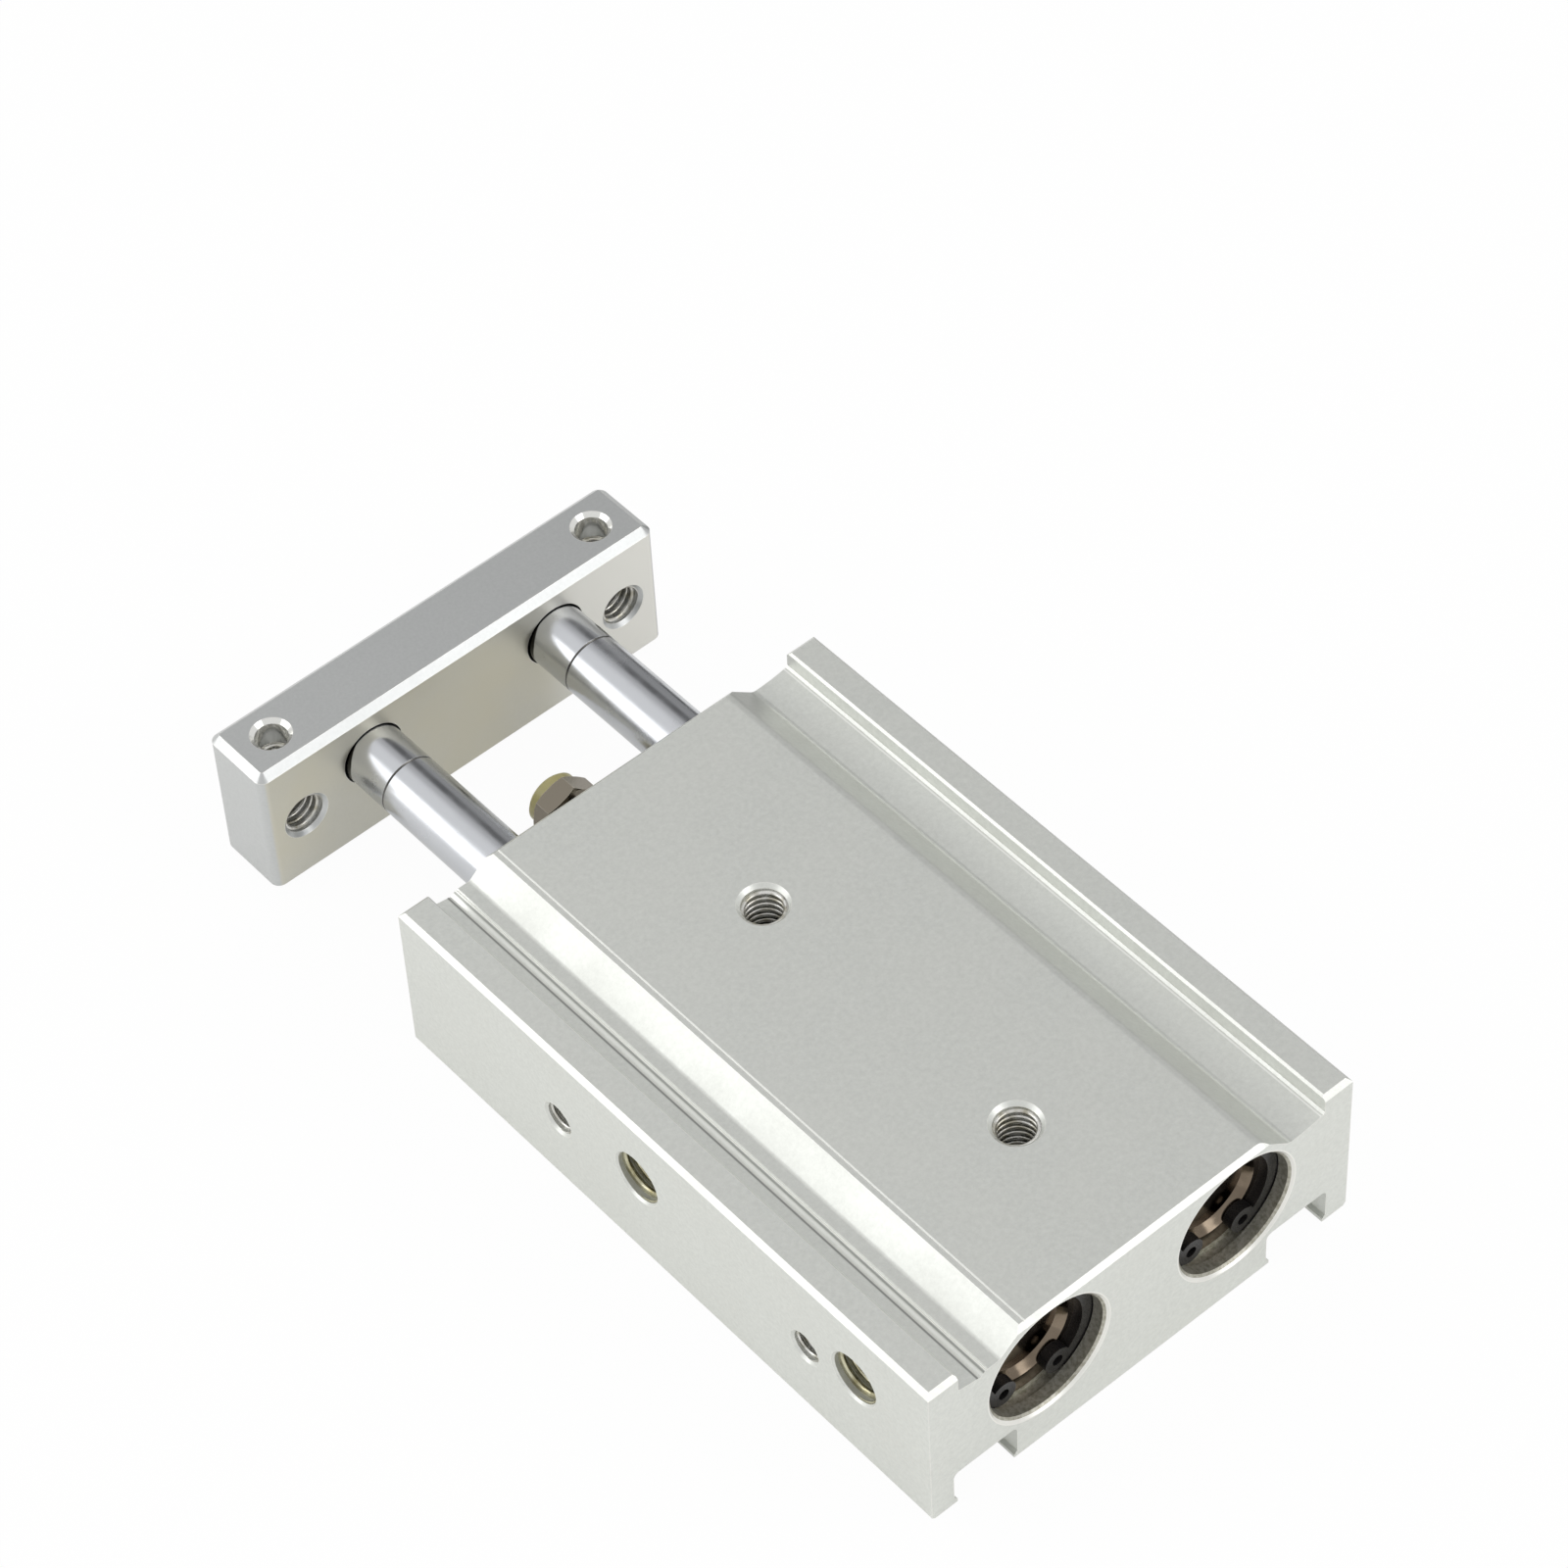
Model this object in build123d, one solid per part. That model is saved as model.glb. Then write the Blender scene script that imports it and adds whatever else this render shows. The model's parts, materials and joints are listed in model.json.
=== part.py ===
from build123d import *
from itertools import accumulate
from math import cos, radians, sin, sqrt, tan
import os

# Guided twin-rod pneumatic cylinder, in millimetres, with its rods out.
# +Y runs along the rods towards the tooling plate, +X is to the right seen from the rear, +Z is up.
# The origin is on the base, midway between the two base mounting holes.
# A station is a distance along +Y from the rear face of the housing.

# Fits
running_gap = 0.05          # radial, between a rod, seal or screw and what it slides or turns in
seat_gap = 0.03             # radial, between a fixed piece and its seat
stop_gap = 0.3              # left between the cushions and the ends of the cylinder

# Housing extrusion
body_width = 46.0
body_height = 17.0
body_length = 66.0
plateau_half = 13.1         # half width of the flat top between the two coves
cove_angle = 39.0           # slope of a cove, below the flat top
shoulder_radius = 1.5       # from the flat top into the right cove
cove_radius = 1.0           # from a cove into its ledge
ledge_drop = 2.3            # from the flat top to the lowest line of a ledge
ledge_rise = 0.35           # from there up to the foot of the flange, and to the left ledge's upper strip
ledge_sag = 0.1             # how far the right ledge is hollowed
flange_width = 3.1          # side flanges that stand up to the height of the flat top
flange_bevel = 0.45         # outer top edge of a flange
inner_bevel = 0.2           # inner top edge of a flange, and the corner at its foot
foot_width = 2.4            # side feet under the flanges
foot_bevel = 0.3            # outer bottom edge of a foot
block_half = 13.8           # half width of the centre block that stands on the base plane
groove_height = 4.0         # sensor grooves between the feet and the centre block
groove_fillet = 0.6
groove_lip = 0.35           # lips along both edges of a groove's mouth, sloped above
end_bevel = 0.45            # top edges of both end faces

# Left ledge, as shares of its width from the foot of the cove: strip, fine groove, slope down, crevice
strip_share = 0.3
line_share = 0.06
slope_share = 0.13
crevice_share = 0.05
crevice_depth = 0.12        # of the crevice and of the fine groove
shoulder_line = (0.4, 0.25, 0.07)   # fine groove beside the left cove: inset, width and depth

# Bores
side_wall = 12.75           # from a side face to the axis of its bore
bore_height = 10.0          # bore axes above the base
bore_radius = 5.0
rod_radius = 3.0

# Head end of each bore
head_bore_radius = 6.1
head_mouth_bevel = 0.4
head_ring_inset = 1.6       # from the rear face to the retaining ring
head_flange = 3.0           # thickness of the head cover's flange
head_nose = 1.6             # length of the head cover's nose inside the cylinder bore
head_dish_radius = 4.4
head_dish_depth = 0.8
head_dish_slope = 0.5

# Retaining rings
ring_thickness = 1.0
ring_groove_play = 0.1
ring_bite = 0.35            # how deep a ring's groove is cut into the wall of its bore
ring_width = 1.1
ring_opening = -99.0        # direction of the opening between the lugs, from +X towards +Z
lug_spread = 38.0           # angle from the middle of the opening to each lug
head_lug_radius = 1.3
rod_lug_radius = 1.1
lug_hole_radius = 0.55

# Pistons and stroke
stroke = 11.0
piston_length = 13.2
piston_front_length = 6.2
magnet_length = 3.0
magnet_inset = 0.4          # the magnet's rim lies this much below the piston's
piston_seal_width = 2.0
piston_seal_section = 1.35
piston_seal_inset = 2.0     # from the piston's front face to its seal
spigot_radius = 2.0         # turned end of a rod that carries the piston
stake_radius = 2.5          # rod end riveted over behind the piston
stake_length = 0.8
cushion_length = 2.7        # soft stop on each face of the piston
cushion_radius = 4.2

# Rod end of each bore
front_lip = 2.3             # from the retaining ring to the front face
rod_mouth_radius = 5.6
rod_mouth_bevel = 0.3
retainer_thickness = 1.3
retainer_clearance = 0.3    # radial, round the rod
rod_seal_length = 2.8
rod_seal_play = 0.1
bearing_bevel = 0.3

# Rings of round section
o_ring_section = 0.45
o_ring_play = 0.1
head_o_ring_inset = 1.5     # from the inner face of the head cover's flange
bearing_o_ring_inset = 3.5  # from the outer end of the bearing

# Tooling plate
plate_gap = 20.5            # from the front face of the housing to the plate, rods out
plate_inset = 1.0           # at each end, from the side faces of the housing
plate_height = 15.0
plate_thickness = 7.5
plate_lift = 0.35           # underside of the plate above the base
plate_bevel = 0.7
plate_corner_radius = 0.9
rod_socket_depth = 2.0
rod_socket_gap = 0.16       # radial, a dark line where a rod enters the plate
rod_line_inset = 5.1        # fine turned line round a rod, from the plate
rod_line_width = 0.24
rod_line_depth = 0.1
rod_end_bevel = 0.3

# Threaded holes, at the outside radius of the thread
m3_radius = 1.5
m3_bevel = 0.25
m3_depth = 5.0
m4_radius = 2.0
m4_bevel = 0.35
m4_depth = 8.0
m4_core_radius = 1.65
base_thread_depth = 5.0
drill_point = 0.6           # height of a drilled hole's point as a share of its radius

# Mounting holes
mount_rear = 15.0           # station of the rear pair
mount_pitch = 31.0
side_mount_height = 8.0
plate_hole_inset = 4.1      # from the ends of the plate
plate_hole_height = 7.75
plate_top_depth = 4.5
plate_top_bevel = 0.4

# Air ports, on the left, with plugs in the same holes on the right
port_radius = 2.5
port_bevel = 0.2
port_depth = 5.0
head_port_inset = 1.8       # from the head cover to the axis of its port
rod_port_inset = 1.7        # from the bearing to the axis of its port
passage_radius = 1.0
plug_length = 4.4
plug_recess = 0.3
plug_socket = 2.5
plug_socket_depth = 2.0

# Stroke adjuster between the rods
adjuster_height = 5.8       # axis above the base
adjuster_reach = 9.3        # from the front face of the housing to the pad's face
adjuster_travel = 3.5
adjuster_play = 0.4         # left under the screw when it is all the way in
pad_radius = 2.55
pad_thickness = 1.2
pad_edge = 0.3
pad_stem_radius = 1.0
pad_stem_length = 1.0
hex_flats = 5.5             # head and lock nut
hex_bevel = 0.35
head_turn = 20.5            # direction of a corner of the head, from +X towards +Z
head_height = 2.0
nut_height = 2.4
shank_length = 18.0
shank_bevel = 0.3

# Cap screws that hold the plate to the rods
cap_radius = 2.75
cap_height = 3.0
cap_bevel = 0.3
cap_recess = 0.2
cap_clearance = 0.15
cap_socket = 2.5
cap_socket_depth = 1.5
cap_shank_length = 9.0
cap_hole_play = 0.8         # tapped depth beyond the end of the screw

# Places that follow from the sizes above
rear_y = -(mount_rear + mount_pitch / 2)
bore_pitch = body_width - 2 * side_wall
plate_width = body_width - 2 * plate_inset
plate_hole_half = plate_width / 2 - plate_hole_inset
ledge_height = body_height - ledge_drop
head_flange_start = head_ring_inset + ring_thickness
head_seat = head_flange_start + head_flange
chamber_rear = head_seat + head_nose
piston_rear = chamber_rear + stop_gap + stroke + cushion_length
piston_front = piston_rear + piston_length
bearing_start = piston_front + cushion_length + stop_gap
rod_ring_start = body_length - front_lip - ring_thickness
retainer_start = rod_ring_start - retainer_thickness
bearing_end = retainer_start - rod_seal_length - 2 * rod_seal_play
plate_rear = body_length + plate_gap
plate_front = plate_rear + plate_thickness
plate_top = plate_lift + plate_height
rod_end = plate_rear + rod_socket_depth
cap_seat = plate_front - cap_recess - cap_height
pad_face = body_length + adjuster_reach
head_front = pad_face - pad_thickness
head_rear = head_front - head_height
shank_end = head_rear - shank_length
piston_radius = bore_radius - running_gap
mount_stations = (mount_rear, mount_rear + mount_pitch)
port_stations = (chamber_rear + head_port_inset, bearing_start - rod_port_inset)
sides = {"left": -1, "right": 1}


def turned(*profile):
    """Revolve a closed profile of (station, radius) points about +Y."""
    outline = Polyline(*[(radius, station) for station, radius in profile], close=True)
    return revolve(make_face(outline), Axis.Y, 360)


def sleeve(outer, inner, start, end):
    """A tube about +Y between two stations, or a bar where inner is 0."""
    return turned((start, inner), (start, outer), (end, outer), (end, inner))


def hex_bar(flats, start, end, turn=0.0):
    """A hexagonal bar about +Y between two stations."""
    outline = RegularPolygon(flats / 2, 6, major_radius=False, rotation=turn)
    return Pos(0, start, 0) * extrude(Plane.XZ * outline, -(end - start))


def nut_form(flats, start, end, turn=0.0):
    """A hexagonal bar whose corners are turned down at both ends."""
    corner = flats / sqrt(3)
    rim = corner - hex_bevel
    envelope = turned((start, 0), (start, rim), (start + hex_bevel / 2, corner),
                      (end - hex_bevel / 2, corner), (end, rim), (end, 0))
    return hex_bar(flats, start, end, turn) & envelope


def drilling(mouth, outward, radius, depth, bevel, pointed=True):
    """The space of a drilled hole with a bevelled mouth, going in against outward."""
    inward_end = (Align.CENTER, Align.CENTER, Align.MAX)
    space = Cylinder(radius, depth, align=inward_end)
    space += Cone(radius, radius + bevel, bevel, align=inward_end)
    if pointed:
        space += Pos(0, 0, -depth) * Cone(0, radius, radius * drill_point, align=inward_end)
    return Plane(origin=mouth, z_dir=outward) * space


def o_ring(wall_radius, station):
    """A ring of round section that fills a groove under a wall of the given radius."""
    centre = wall_radius - o_ring_section - running_gap / 2
    return revolve(Pos(centre, station) * Circle(o_ring_section), Axis.Y, 360)


def o_ring_groove(wall_radius, station):
    """The space of the groove that such a ring lies in."""
    floor = wall_radius - 2 * o_ring_section - running_gap
    half = o_ring_section + o_ring_play
    return sleeve(wall_radius + seat_gap, floor, station - half, station + half)


def retaining_ring(wall_radius, start, lug_radius):
    """An internal ring with two lugs, sprung into its groove in the wall."""
    outer = wall_radius + ring_bite - seat_gap
    lug_reach = wall_radius - seat_gap - lug_radius
    far = 3 * outer
    opening_sides = [radians(ring_opening + turn) for turn in (-lug_spread, lug_spread)]
    opening = make_face(Polyline((0, 0), *[(far * cos(a), far * sin(a)) for a in opening_sides], close=True))
    outline = Circle(outer) - Circle(wall_radius - ring_width) - opening
    for angle in opening_sides:
        outline += Pos(lug_reach * cos(angle), lug_reach * sin(angle)) * Circle(lug_radius)
    for angle in opening_sides:
        outline -= Pos(lug_reach * cos(angle), lug_reach * sin(angle)) * Circle(lug_hole_radius)
    return Pos(0, start, 0) * extrude(Plane.XZ * outline, -ring_thickness)


def trough(*floor):
    """The space over one ledge, on the right, above the edges of its floor from cove to flange."""
    inner = body_width / 2 - flange_width
    foot = ledge_height + ledge_rise
    wall = Polyline((inner - inner_bevel, foot), (inner, foot + inner_bevel), (inner, body_height - inner_bevel),
                    (inner + inner_bevel, body_height), (plateau_half, body_height))
    return make_face([*floor, wall])


def softened(outline, corner, radius):
    """The outline with a fillet at the vertex that lies nearest to a corner."""
    return fillet(outline.vertices().sort_by_distance(Vector(*corner))[0], radius)


def right_trough():
    """The smooth right ledge: a cove, then a slightly hollow floor that rises to the flange."""
    end = (body_width / 2 - flange_width - inner_bevel, ledge_height + ledge_rise)
    foot = (plateau_half + ledge_drop / tan(radians(cove_angle)), ledge_height)
    middle = ((foot[0] + end[0]) / 2, (foot[1] + end[1]) / 2 - ledge_sag)
    floor = [Line((plateau_half, body_height), foot), ThreePointArc(foot, middle, end)]
    return softened(trough(*floor), foot, cove_radius)


def left_trough():
    """The left ledge: a cove, an upper strip, a fine groove and a slope down to a crevice."""
    strip_height = ledge_height + ledge_rise
    start = plateau_half + (ledge_drop - ledge_rise) / tan(radians(cove_angle))
    end = body_width / 2 - flange_width - inner_bevel
    line, slope, crevice, low = (start + (end - start) * share for share in accumulate(
        (strip_share, line_share, slope_share, crevice_share)))
    floor = Polyline((plateau_half, body_height), (start, strip_height), (line, strip_height),
                     ((line + slope) / 2, strip_height - crevice_depth), (slope, strip_height),
                     (crevice, ledge_height - crevice_depth), (low, ledge_height), (end, strip_height))
    return mirror(softened(trough(floor), (start, strip_height), cove_radius / 2), Plane.YZ)


def housing_outline():
    """The extruded section: flat top, two coves, ledges, flanges, feet and sensor grooves."""
    half = body_width / 2
    right_half = make_face(Polyline((0, 0), (0, body_height), (half - flange_bevel, body_height),
                                    (half, body_height - flange_bevel), (half, foot_bevel),
                                    (half - foot_bevel, 0), close=True))
    outline = right_half + mirror(right_half, Plane.YZ) - right_trough() - left_trough()
    outline = softened(outline, (plateau_half, body_height), shoulder_radius)
    inset, width, depth = shoulder_line
    near = inset - plateau_half
    outline -= make_face(Polyline((near, body_height), (near + width, body_height),
                                  (near + width / 2, body_height - depth), close=True))
    groove_width = half - foot_width - block_half
    groove = RectangleRounded(groove_width, 2 * groove_height, groove_fillet)
    for wall, inward in ((-groove_width / 2, 1), (groove_width / 2, -1)):
        tip = wall + inward * groove_lip
        groove -= make_face(Polyline((wall, 0), (tip, 0), (tip, groove_lip), (wall, 2 * groove_lip), close=True))
    for side_sign in sides.values():
        outline -= Pos(side_sign * (block_half + groove_width / 2), 0) * groove
    return outline


def bore_space():
    """Everything cut round one bore axis: both mouths, ring grooves, seats and the cylinder bore."""
    cylinder = sleeve(bore_radius, 0, head_seat, retainer_start)
    head = turned((0, 0), (0, head_bore_radius + head_mouth_bevel), (head_mouth_bevel, head_bore_radius),
                  (head_seat, head_bore_radius), (head_seat, 0))
    rod_mouth = turned((retainer_start, 0), (retainer_start, rod_mouth_radius),
                       (body_length - rod_mouth_bevel, rod_mouth_radius),
                       (body_length, rod_mouth_radius + rod_mouth_bevel), (body_length, 0))
    head_groove = sleeve(head_bore_radius + ring_bite, 0, head_ring_inset - ring_groove_play, head_flange_start)
    rod_groove = sleeve(rod_mouth_radius + ring_bite, 0, rod_ring_start,
                        rod_ring_start + ring_thickness + ring_groove_play)
    return cylinder + head + rod_mouth + head_groove + rod_groove


def housing():
    """The extruded aluminium body with all its bores, ports and threaded holes."""
    half = body_width / 2
    body = Pos(0, rear_y, 0) * extrude(Plane.XZ * housing_outline(), -body_length)
    for end, inward in ((rear_y, 1), (rear_y + body_length, -1)):
        corner = Polyline((end, body_height - end_bevel), (end, body_height),
                          (end + inward * end_bevel, body_height), close=True)
        body -= Pos(-half, 0, 0) * extrude(Plane.YZ * make_face(corner), body_width)
    for side_sign in sides.values():
        body -= Pos(side_sign * bore_pitch / 2, rear_y, bore_height) * bore_space()
    for station in mount_stations:
        y = rear_y + station
        body -= drilling((0, y, body_height), (0, 0, 1), m4_radius, m4_depth, m4_bevel, pointed=False)
        body -= drilling((0, y, 0), (0, 0, -1), m4_radius, base_thread_depth, m4_bevel, pointed=False)
        body -= Pos(0, y, body_height / 2) * Cylinder(m4_core_radius, body_height)
        for side_sign in sides.values():
            mouth = (side_sign * half, y, side_mount_height)
            body -= drilling(mouth, (side_sign, 0, 0), m3_radius, m3_depth, m3_bevel)
    for station in port_stations:
        y = rear_y + station
        body -= Pos(0, y, bore_height) * Rot(0, 90, 0) * Cylinder(passage_radius, body_width - port_depth)
        for side_sign in sides.values():
            mouth = (side_sign * half, y, bore_height)
            body -= drilling(mouth, (side_sign, 0, 0), port_radius, port_depth, port_bevel, pointed=False)
    adjuster_depth = body_length - shank_end + adjuster_travel + adjuster_play
    front_mouth = (0, rear_y + body_length, adjuster_height)
    body -= drilling(front_mouth, (0, 1, 0), m3_radius, adjuster_depth, m3_bevel)
    return body


def head_cover():
    """Plug of the head end, with a shallow dish in its outer face."""
    seat_radius = head_bore_radius - seat_gap
    floor = head_flange_start + head_dish_depth
    cover = turned((floor, 0), (floor, head_dish_radius - head_dish_slope), (head_flange_start, head_dish_radius),
                   (head_flange_start, seat_radius), (head_seat, seat_radius), (head_seat, bore_radius - seat_gap),
                   (chamber_rear, bore_radius - seat_gap), (chamber_rear, 0))
    return cover - o_ring_groove(head_bore_radius, head_seat - head_o_ring_inset)


def rod_bearing():
    """Long plain bearing that guides a rod."""
    outer = bore_radius - seat_gap
    inner = rod_radius + running_gap
    bearing = turned((bearing_start, inner + bearing_bevel), (bearing_start, outer), (bearing_end, outer),
                     (bearing_end, inner + bearing_bevel), (bearing_end - bearing_bevel, inner),
                     (bearing_start + bearing_bevel, inner))
    return bearing - o_ring_groove(bore_radius, bearing_end - bearing_o_ring_inset)


def rod_seal():
    """Lip seal round a rod, its channel open to the pressure side."""
    outer = bore_radius - seat_gap
    inner = rod_radius + running_gap
    lip = (outer - inner) / 4
    start = bearing_end + rod_seal_play
    end = start + rod_seal_length
    return turned((start, inner), (start, inner + lip), (start + rod_seal_length / 2, (inner + outer) / 2),
                  (start, outer - lip), (start, outer), (end, outer), (end, inner))


def seal_retainer():
    """Washer that keeps the rod seal in."""
    return sleeve(rod_mouth_radius - seat_gap, rod_radius + retainer_clearance, retainer_start, rod_ring_start)


def piston_rod():
    """Chromed rod, turned down and riveted over behind the piston, tapped for the plate's screw."""
    line = plate_rear - rod_line_inset
    tapped_end = cap_seat - cap_shank_length - cap_hole_play
    return turned((piston_rear - stake_length, 0), (piston_rear - stake_length, stake_radius),
                  (piston_rear, stake_radius), (piston_rear, spigot_radius),
                  (piston_front, spigot_radius), (piston_front, rod_radius),
                  (line - rod_line_width / 2, rod_radius), (line, rod_radius - rod_line_depth),
                  (line + rod_line_width / 2, rod_radius), (rod_end - rod_end_bevel, rod_radius),
                  (rod_end, rod_radius - rod_end_bevel), (rod_end, m3_radius),
                  (tapped_end, m3_radius), (tapped_end, 0))


def piston_front_half():
    """Piston half on the rod's shoulder, with the seal's groove."""
    start = piston_front - piston_front_length
    seal_end = piston_front - piston_seal_inset
    half = sleeve(piston_radius, spigot_radius + seat_gap, start, piston_front)
    return half - sleeve(bore_radius, piston_radius - piston_seal_section, seal_end - piston_seal_width, seal_end)


def piston_seal():
    """Piston packing with a channel in its outer face."""
    end = piston_front - piston_seal_inset - seat_gap
    start = end - piston_seal_width + 2 * seat_gap
    inner = piston_radius - piston_seal_section + seat_gap
    middle = (start + end) / 2
    channel = piston_seal_width / 5
    return turned((start, inner), (start, piston_radius), (middle - channel, piston_radius),
                  (middle, piston_radius - channel), (middle + channel, piston_radius),
                  (end, piston_radius), (end, inner))


def piston_magnet():
    """Ring magnet that the sensors in the grooves read."""
    end = piston_front - piston_front_length
    return sleeve(piston_radius - magnet_inset, spigot_radius + seat_gap, end - magnet_length, end)


def piston_rear_half():
    """Piston half that clamps the magnet."""
    end = piston_front - piston_front_length - magnet_length
    return sleeve(piston_radius, spigot_radius + seat_gap, piston_rear, end)


def front_cushion():
    """Soft stop round the rod, towards the bearing."""
    return sleeve(cushion_radius, rod_radius + seat_gap, piston_front, piston_front + cushion_length)


def rear_cushion():
    """Soft stop round the riveted end of the rod, towards the head cover."""
    return sleeve(cushion_radius, stake_radius + seat_gap, piston_rear - cushion_length, piston_rear)


def plate_screw():
    """Socket cap screw sunk in the plate's front face."""
    head_end = cap_seat + cap_height
    shank = m3_radius - seat_gap
    screw = turned((cap_seat - cap_shank_length, 0), (cap_seat - cap_shank_length, shank - cap_bevel),
                   (cap_seat - cap_shank_length + cap_bevel, shank), (cap_seat, shank), (cap_seat, cap_radius),
                   (head_end - cap_bevel, cap_radius), (head_end, cap_radius - cap_bevel), (head_end, 0))
    return screw - hex_bar(cap_socket, head_end - cap_socket_depth, head_end)


def tooling_plate():
    """Plate that joins both rods and carries the tool."""
    y = rear_y + (plate_rear + plate_front) / 2
    blank = extrude(RectangleRounded(plate_width, plate_thickness, plate_corner_radius), plate_height)
    rims = blank.faces().sort_by(Axis.Z)[0].edges() + blank.faces().sort_by(Axis.Z)[-1].edges()
    plate = Pos(0, y, plate_lift) * chamfer(rims, plate_bevel)
    for side_sign in sides.values():
        rod_hole = sleeve(rod_radius + rod_socket_gap, 0, plate_rear, rod_end)
        rod_hole += sleeve(m3_radius + cap_clearance, 0, rod_end, cap_seat)
        rod_hole += sleeve(cap_radius + cap_clearance, 0, cap_seat, plate_front)
        plate -= Pos(side_sign * bore_pitch / 2, rear_y, bore_height) * rod_hole
        x = side_sign * plate_hole_half
        for station, outward in ((plate_rear, -1), (plate_front, 1)):
            mouth = (x, rear_y + station, plate_hole_height)
            plate -= drilling(mouth, (0, outward, 0), m4_radius, plate_thickness / 2, m4_bevel, pointed=False)
        plate -= drilling((x, y, plate_top), (0, 0, 1), m3_radius, plate_top_depth, plate_top_bevel)
    return plate


def port_plug(station):
    """Socket plug in a port of the right side."""
    outer_end = (Align.CENTER, Align.CENTER, Align.MAX)
    plug = Cylinder(port_radius - seat_gap, plug_length, align=outer_end)
    socket = extrude(RegularPolygon(plug_socket / 2, 6, major_radius=False), -plug_socket_depth)
    mouth = (body_width / 2 - plug_recess, rear_y + station, bore_height)
    return Plane(origin=mouth, z_dir=(1, 0, 0)) * (plug - socket)


def bumper_pad():
    """Polyurethane pad that the plate meets, its stem held in the screw's head."""
    back = head_front + running_gap
    return turned((head_front - pad_stem_length, 0), (head_front - pad_stem_length, pad_stem_radius),
                  (back, pad_stem_radius), (back, pad_radius), (pad_face - pad_edge, pad_radius),
                  (pad_face, pad_radius - pad_edge), (pad_face, 0))


def bumper_screw():
    """Hexagon screw that sets the stroke."""
    shank = m3_radius - running_gap
    screw = nut_form(hex_flats, head_rear, head_front, head_turn)
    screw += turned((shank_end, 0), (shank_end, shank - shank_bevel), (shank_end + shank_bevel, shank),
                    (head_rear, shank), (head_rear, 0))
    stem_hole = head_front - pad_stem_length - running_gap
    return screw - sleeve(pad_stem_radius + running_gap, 0, stem_hole, head_front)


def lock_nut():
    """Nut that clamps the stroke screw against the housing."""
    nut = nut_form(hex_flats, body_length, body_length + nut_height)
    return nut - sleeve(m3_radius, 0, body_length, body_length + nut_height)


def build_parts():
    """Every sub-part by its node name, in place."""
    parts = {"housing": housing(), "tooling_plate": tooling_plate()}
    in_each_bore = {
        "head_cover": head_cover(),
        "head_o_ring": o_ring(head_bore_radius, head_seat - head_o_ring_inset),
        "head_retaining_ring": retaining_ring(head_bore_radius, head_ring_inset, head_lug_radius),
        "rod_bearing": rod_bearing(),
        "bearing_o_ring": o_ring(bore_radius, bearing_end - bearing_o_ring_inset),
        "rod_seal": rod_seal(),
        "seal_retainer": seal_retainer(),
        "rod_retaining_ring": retaining_ring(rod_mouth_radius, rod_ring_start, rod_lug_radius),
        "piston_rod": piston_rod(),
        "piston_front_half": piston_front_half(),
        "piston_seal": piston_seal(),
        "piston_magnet": piston_magnet(),
        "piston_rear_half": piston_rear_half(),
        "front_cushion": front_cushion(),
        "rear_cushion": rear_cushion(),
        "plate_screw": plate_screw(),
    }
    for side, sign in sides.items():
        for name, shape in in_each_bore.items():
            parts[f"{name}_{side}"] = Pos(sign * bore_pitch / 2, rear_y, bore_height) * shape
    for name, station in zip(("port_plug_rear", "port_plug_front"), port_stations):
        parts[name] = port_plug(station)
    on_adjuster = {"bumper_pad": bumper_pad(), "bumper_screw": bumper_screw(), "lock_nut": lock_nut()}
    for name, shape in on_adjuster.items():
        parts[name] = Pos(0, rear_y, adjuster_height) * shape
    return parts


os.makedirs("parts", exist_ok=True)
for node, shape in build_parts().items():
    export_step(shape, f"parts/{node}.step")
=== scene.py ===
"""Dresses the guided twin-rod cylinder with its finishes and cut threads, and sets the studio and camera."""

import json
import logging
from dataclasses import dataclass
from enum import Enum
from math import cos, pi, radians, sin

import bmesh
import bpy
from mathutils import Matrix, Vector

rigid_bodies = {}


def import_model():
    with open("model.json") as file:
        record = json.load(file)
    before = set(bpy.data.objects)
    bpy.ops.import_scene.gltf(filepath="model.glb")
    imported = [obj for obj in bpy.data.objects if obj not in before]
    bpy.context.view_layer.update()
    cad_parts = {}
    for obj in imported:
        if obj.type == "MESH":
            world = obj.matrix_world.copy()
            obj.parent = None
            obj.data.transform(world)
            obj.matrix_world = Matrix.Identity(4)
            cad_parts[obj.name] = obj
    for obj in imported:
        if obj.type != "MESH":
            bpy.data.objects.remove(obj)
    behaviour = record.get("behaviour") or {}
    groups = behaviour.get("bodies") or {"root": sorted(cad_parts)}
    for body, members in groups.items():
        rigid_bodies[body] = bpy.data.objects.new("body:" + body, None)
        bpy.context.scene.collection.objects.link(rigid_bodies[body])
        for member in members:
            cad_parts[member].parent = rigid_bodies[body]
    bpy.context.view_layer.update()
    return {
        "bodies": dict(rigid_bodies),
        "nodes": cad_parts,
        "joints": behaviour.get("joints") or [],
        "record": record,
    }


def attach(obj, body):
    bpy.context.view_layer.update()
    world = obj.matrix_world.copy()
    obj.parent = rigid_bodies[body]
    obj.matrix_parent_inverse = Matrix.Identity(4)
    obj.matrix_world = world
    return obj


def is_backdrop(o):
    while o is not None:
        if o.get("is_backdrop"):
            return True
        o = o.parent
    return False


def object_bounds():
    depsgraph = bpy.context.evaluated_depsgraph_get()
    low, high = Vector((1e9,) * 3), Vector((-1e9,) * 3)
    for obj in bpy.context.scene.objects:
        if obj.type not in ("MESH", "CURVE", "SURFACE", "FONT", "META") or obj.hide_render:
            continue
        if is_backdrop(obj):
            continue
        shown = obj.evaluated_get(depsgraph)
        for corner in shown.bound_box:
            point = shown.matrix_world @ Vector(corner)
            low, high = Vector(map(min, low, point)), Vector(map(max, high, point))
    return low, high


log = logging.getLogger("guided_cylinder")

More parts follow.
